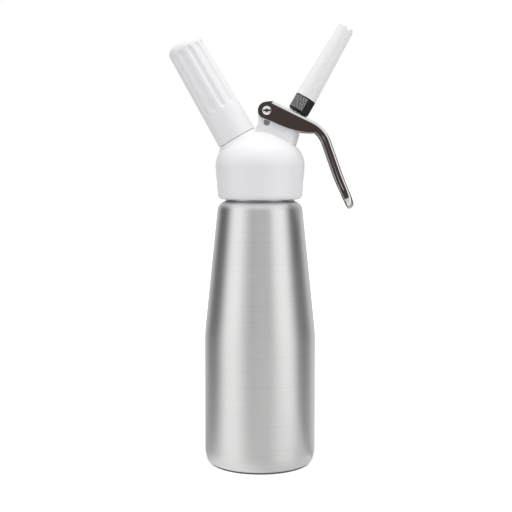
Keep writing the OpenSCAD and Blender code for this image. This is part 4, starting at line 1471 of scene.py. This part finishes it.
@dataclass
class Studio:
    """Floor, soft lights, surroundings and the camera at the photograph's viewing angle.

    The floor's sizes are in millimetres, and those of the camera and the lights in metres.
    """

    lens: float = 73.17
    camera: Sequence[float] = (-0.0029, -0.750, 0.210)
    pitch: float = 4.6
    aim: float = 0.19
    ambient: float = 0.49
    key: float = 3.4
    front: float = 0.66
    panel: float = 1.08
    gap: float = 0.065
    behind: float = 0.62
    dip: float = -0.14
    ceiling: float = 0.9
    room: Colour = (0.064, 0.050, 0.046)
    white: Colour = (1.0, 1.0, 1.0)
    floor_rings: Sequence[float] = (0.0, 200.0, 600.0, 2500.0, 30000.0)
    floor_drop: float = -0.02

    def floor(self) -> None:
        """Makes a round floor, white with a painted contact shadow to the camera and painted to reflections.
        """
        r = np.array(self.floor_rings)[:, None]
        shape = Shape.grid(polar(r, circle(96), self.floor_drop))
        mesh = bpy.data.meshes.new("studio_floor")
        mesh.from_pydata((shape.points * MM).tolist(), [], shape.quads.tolist())
        weld(mesh, gap=1e-5)
        piece = put("studio_floor", mesh)
        paint = bpy.data.materials.new("floor_white")
        paint.use_nodes = True
        paint.cycles.emission_sampling = "NONE"
        self.paint_floor(Graph(paint.node_tree))
        mesh.materials.append(paint)

    def paint_floor(self, g: Graph) -> None:
        """Fills the floor's material.

        To the camera it has a painted shadow under the foot, takes the object's real shadow near it and
        shines white further out. To reflections it is painted like the walls, with painted shade near the
        foot, and like the room far ahead.

        Args:
            g: The material's node tree.
        """
        x, y, _ = g.split(g.node("ShaderNodeTexCoord", output="Object"))
        away = (x * x + y * y).math("SQRT")
        # Painted contact shadow: a ring under the foot, set a little towards the camera, darkens the floor's
        # glow and colour.
        under = ((x * 1.04) * (x * 1.04) + (y + 0.0022) * (y + 0.0022)).math("SQRT").step(0.0365, 0.0386)
        glow = g.grey(g.seen() * (under * 0.42 + away.step(0.12, 0.6) * 0.40 + 0.02))
        diffuse = g.node("ShaderNodeBsdfDiffuse", {}, {"Color": g.grey(under * 0.7 + 0.1)})
        lit = g.node("ShaderNodeAddShader", {}, {0: diffuse, 1: g.emission(glow)})
        walls = self.around(x - 0.035, y)
        near = away.step(0.10, 1.0)
        # Painted shade in reflections: the painted walls are darkened near the foot.
        foot = away.step(0.0345, 0.0385) * 0.8 + 0.2
        tones = g.grey((walls * (near * 0.57 + 0.43) + (1.0 - near) * 0.415) * foot)
        far = away.step(0.9, 2.2) * self.ahead(x.math("DIVIDE", away), y.math("DIVIDE", away))
        painted = g.emission(g.mix(far, tones, self.room))
        both = g.node("ShaderNodeMixShader", {}, {0: g.ray("Glossy"), 1: lit, 2: painted})
        g.node("ShaderNodeOutputMaterial", {}, {"Surface": both})

    def around(self, x: Socket, y: Socket) -> Socket:
        """Brightness of the studio's walls round the object.

        By the angle from the camera's side, a middling front, a light panel on each side, dark walls past
        them and the pale background behind. Something darker stands a little left of the camera.

        Args:
            x: Direction to the right.
            y: Direction away from the camera.

        Returns:
            The brightness.
        """
        deg = math.pi / 180
        a = x.math("ARCTAN2", y * -1.0) + 5 * deg
        side = a.math("ABSOLUTE")
        level = a.step(-34 * deg, -26 * deg) * (1.0 - a.step(-16 * deg, -2 * deg)) * self.dip
        tones = (self.front, self.panel, self.gap, self.behind)
        for low, high, old, new in zip((29, 64, 112), (49, 98, 152), tones, tones[1:]):
            level = level + side.step(low * deg, high * deg) * (new - old)
        return level + self.front

    @staticmethod
    def ahead(x: Socket, y: Socket) -> Socket:
        """1 for level directions (x, y) towards the camera's side, falling to 0 beside it."""
        return (1.0 - x.math("ABSOLUTE").step(0.30, 0.55)) * (y * -1.0).step(0.0, 0.3)

    def world(self) -> None:
        """Makes the world: white to the camera, and painted walls and a bright ceiling to reflections.

        Level with the object the camera's side is dark, as the room behind the camera is.
        """
        world = bpy.data.worlds.new("studio")
        bpy.context.scene.world = world
        world.use_nodes = True
        g = Graph(world.node_tree)
        x, y, z = g.split(g.node("ShaderNodeTexCoord", output="Generated"))
        level = (1.0 - z.step(0.12, 0.34)) * self.ahead(x, y)
        above = z.step(0.34, 0.62)
        walls = self.around(x, y) * (1.0 - above) + above * self.ceiling
        mirror = g.mix(level, g.grey(walls), self.room)
        plain = g.grey(z * 0.20 + x * 0.07 + self.ambient)
        shade = g.mix(g.seen(), g.mix(g.ray("Glossy"), plain, mirror), self.white)
        back = g.node("ShaderNodeBackground", {}, {"Color": shade, "Strength": 1.0})
        g.node("ShaderNodeOutputWorld", {}, {"Surface": back})

    def lamp(self, name: str, place: Sequence[float], size: float, power: float) -> None:
        """A square light that faces the head and stays out of reflections.

        Args:
            name: The light's name.
            place: Where it stands, in metres.
            size: Its side, in metres.
            power: Its power, in watts.
        """
        data = bpy.data.lights.new(name, "AREA")
        data.shape, data.size, data.energy = "SQUARE", size, power
        lamp = put(name, data)
        x, y, z = place[0], place[1], place[2] - self.aim
        lamp.location = place
        lamp.rotation_euler = (QUARTER - math.atan2(z, math.hypot(x, y)), 0.0, math.atan2(x, -y))
        lamp.visible_glossy = False

    def build(self) -> None:
        """Makes floor, world, lights and camera, and sets the plain view transform."""
        self.floor()
        self.world()
        self.lamp("top_light", (0.0, -0.27, 1.25), 0.9, self.key * 1.6)
        self.lamp("left_light", (-0.9, -0.4, 0.9), 0.7, self.key * 0.45)
        self.lamp("right_light", (1.1, -0.3, 0.6), 0.7, self.key * 0.55)
        data = bpy.data.cameras.new("photo_camera")
        data.lens, data.sensor_width, data.clip_start = self.lens, 36.0, 0.01
        camera = put("photo_camera", data)
        camera.location = self.camera
        camera.rotation_euler = (math.radians(90 - self.pitch), 0.0, 0.0)
        bpy.context.scene.camera = camera
        bpy.context.scene.view_settings.view_transform = "Standard"


def main() -> None:
    """Builds the studio and every sub-assembly in order."""
    logging.basicConfig(level=logging.INFO, format="%(name)s: %(message)s")
    for part in (Studio(), Bottle(), Head(), ChargerHolder(), Nozzle(), Lever(), PivotFasteners(),
                 ValveSpring(), CheckValve(), StemSeal(), *small_parts()):
        part.build()


if __name__ == "__main__":
    main()
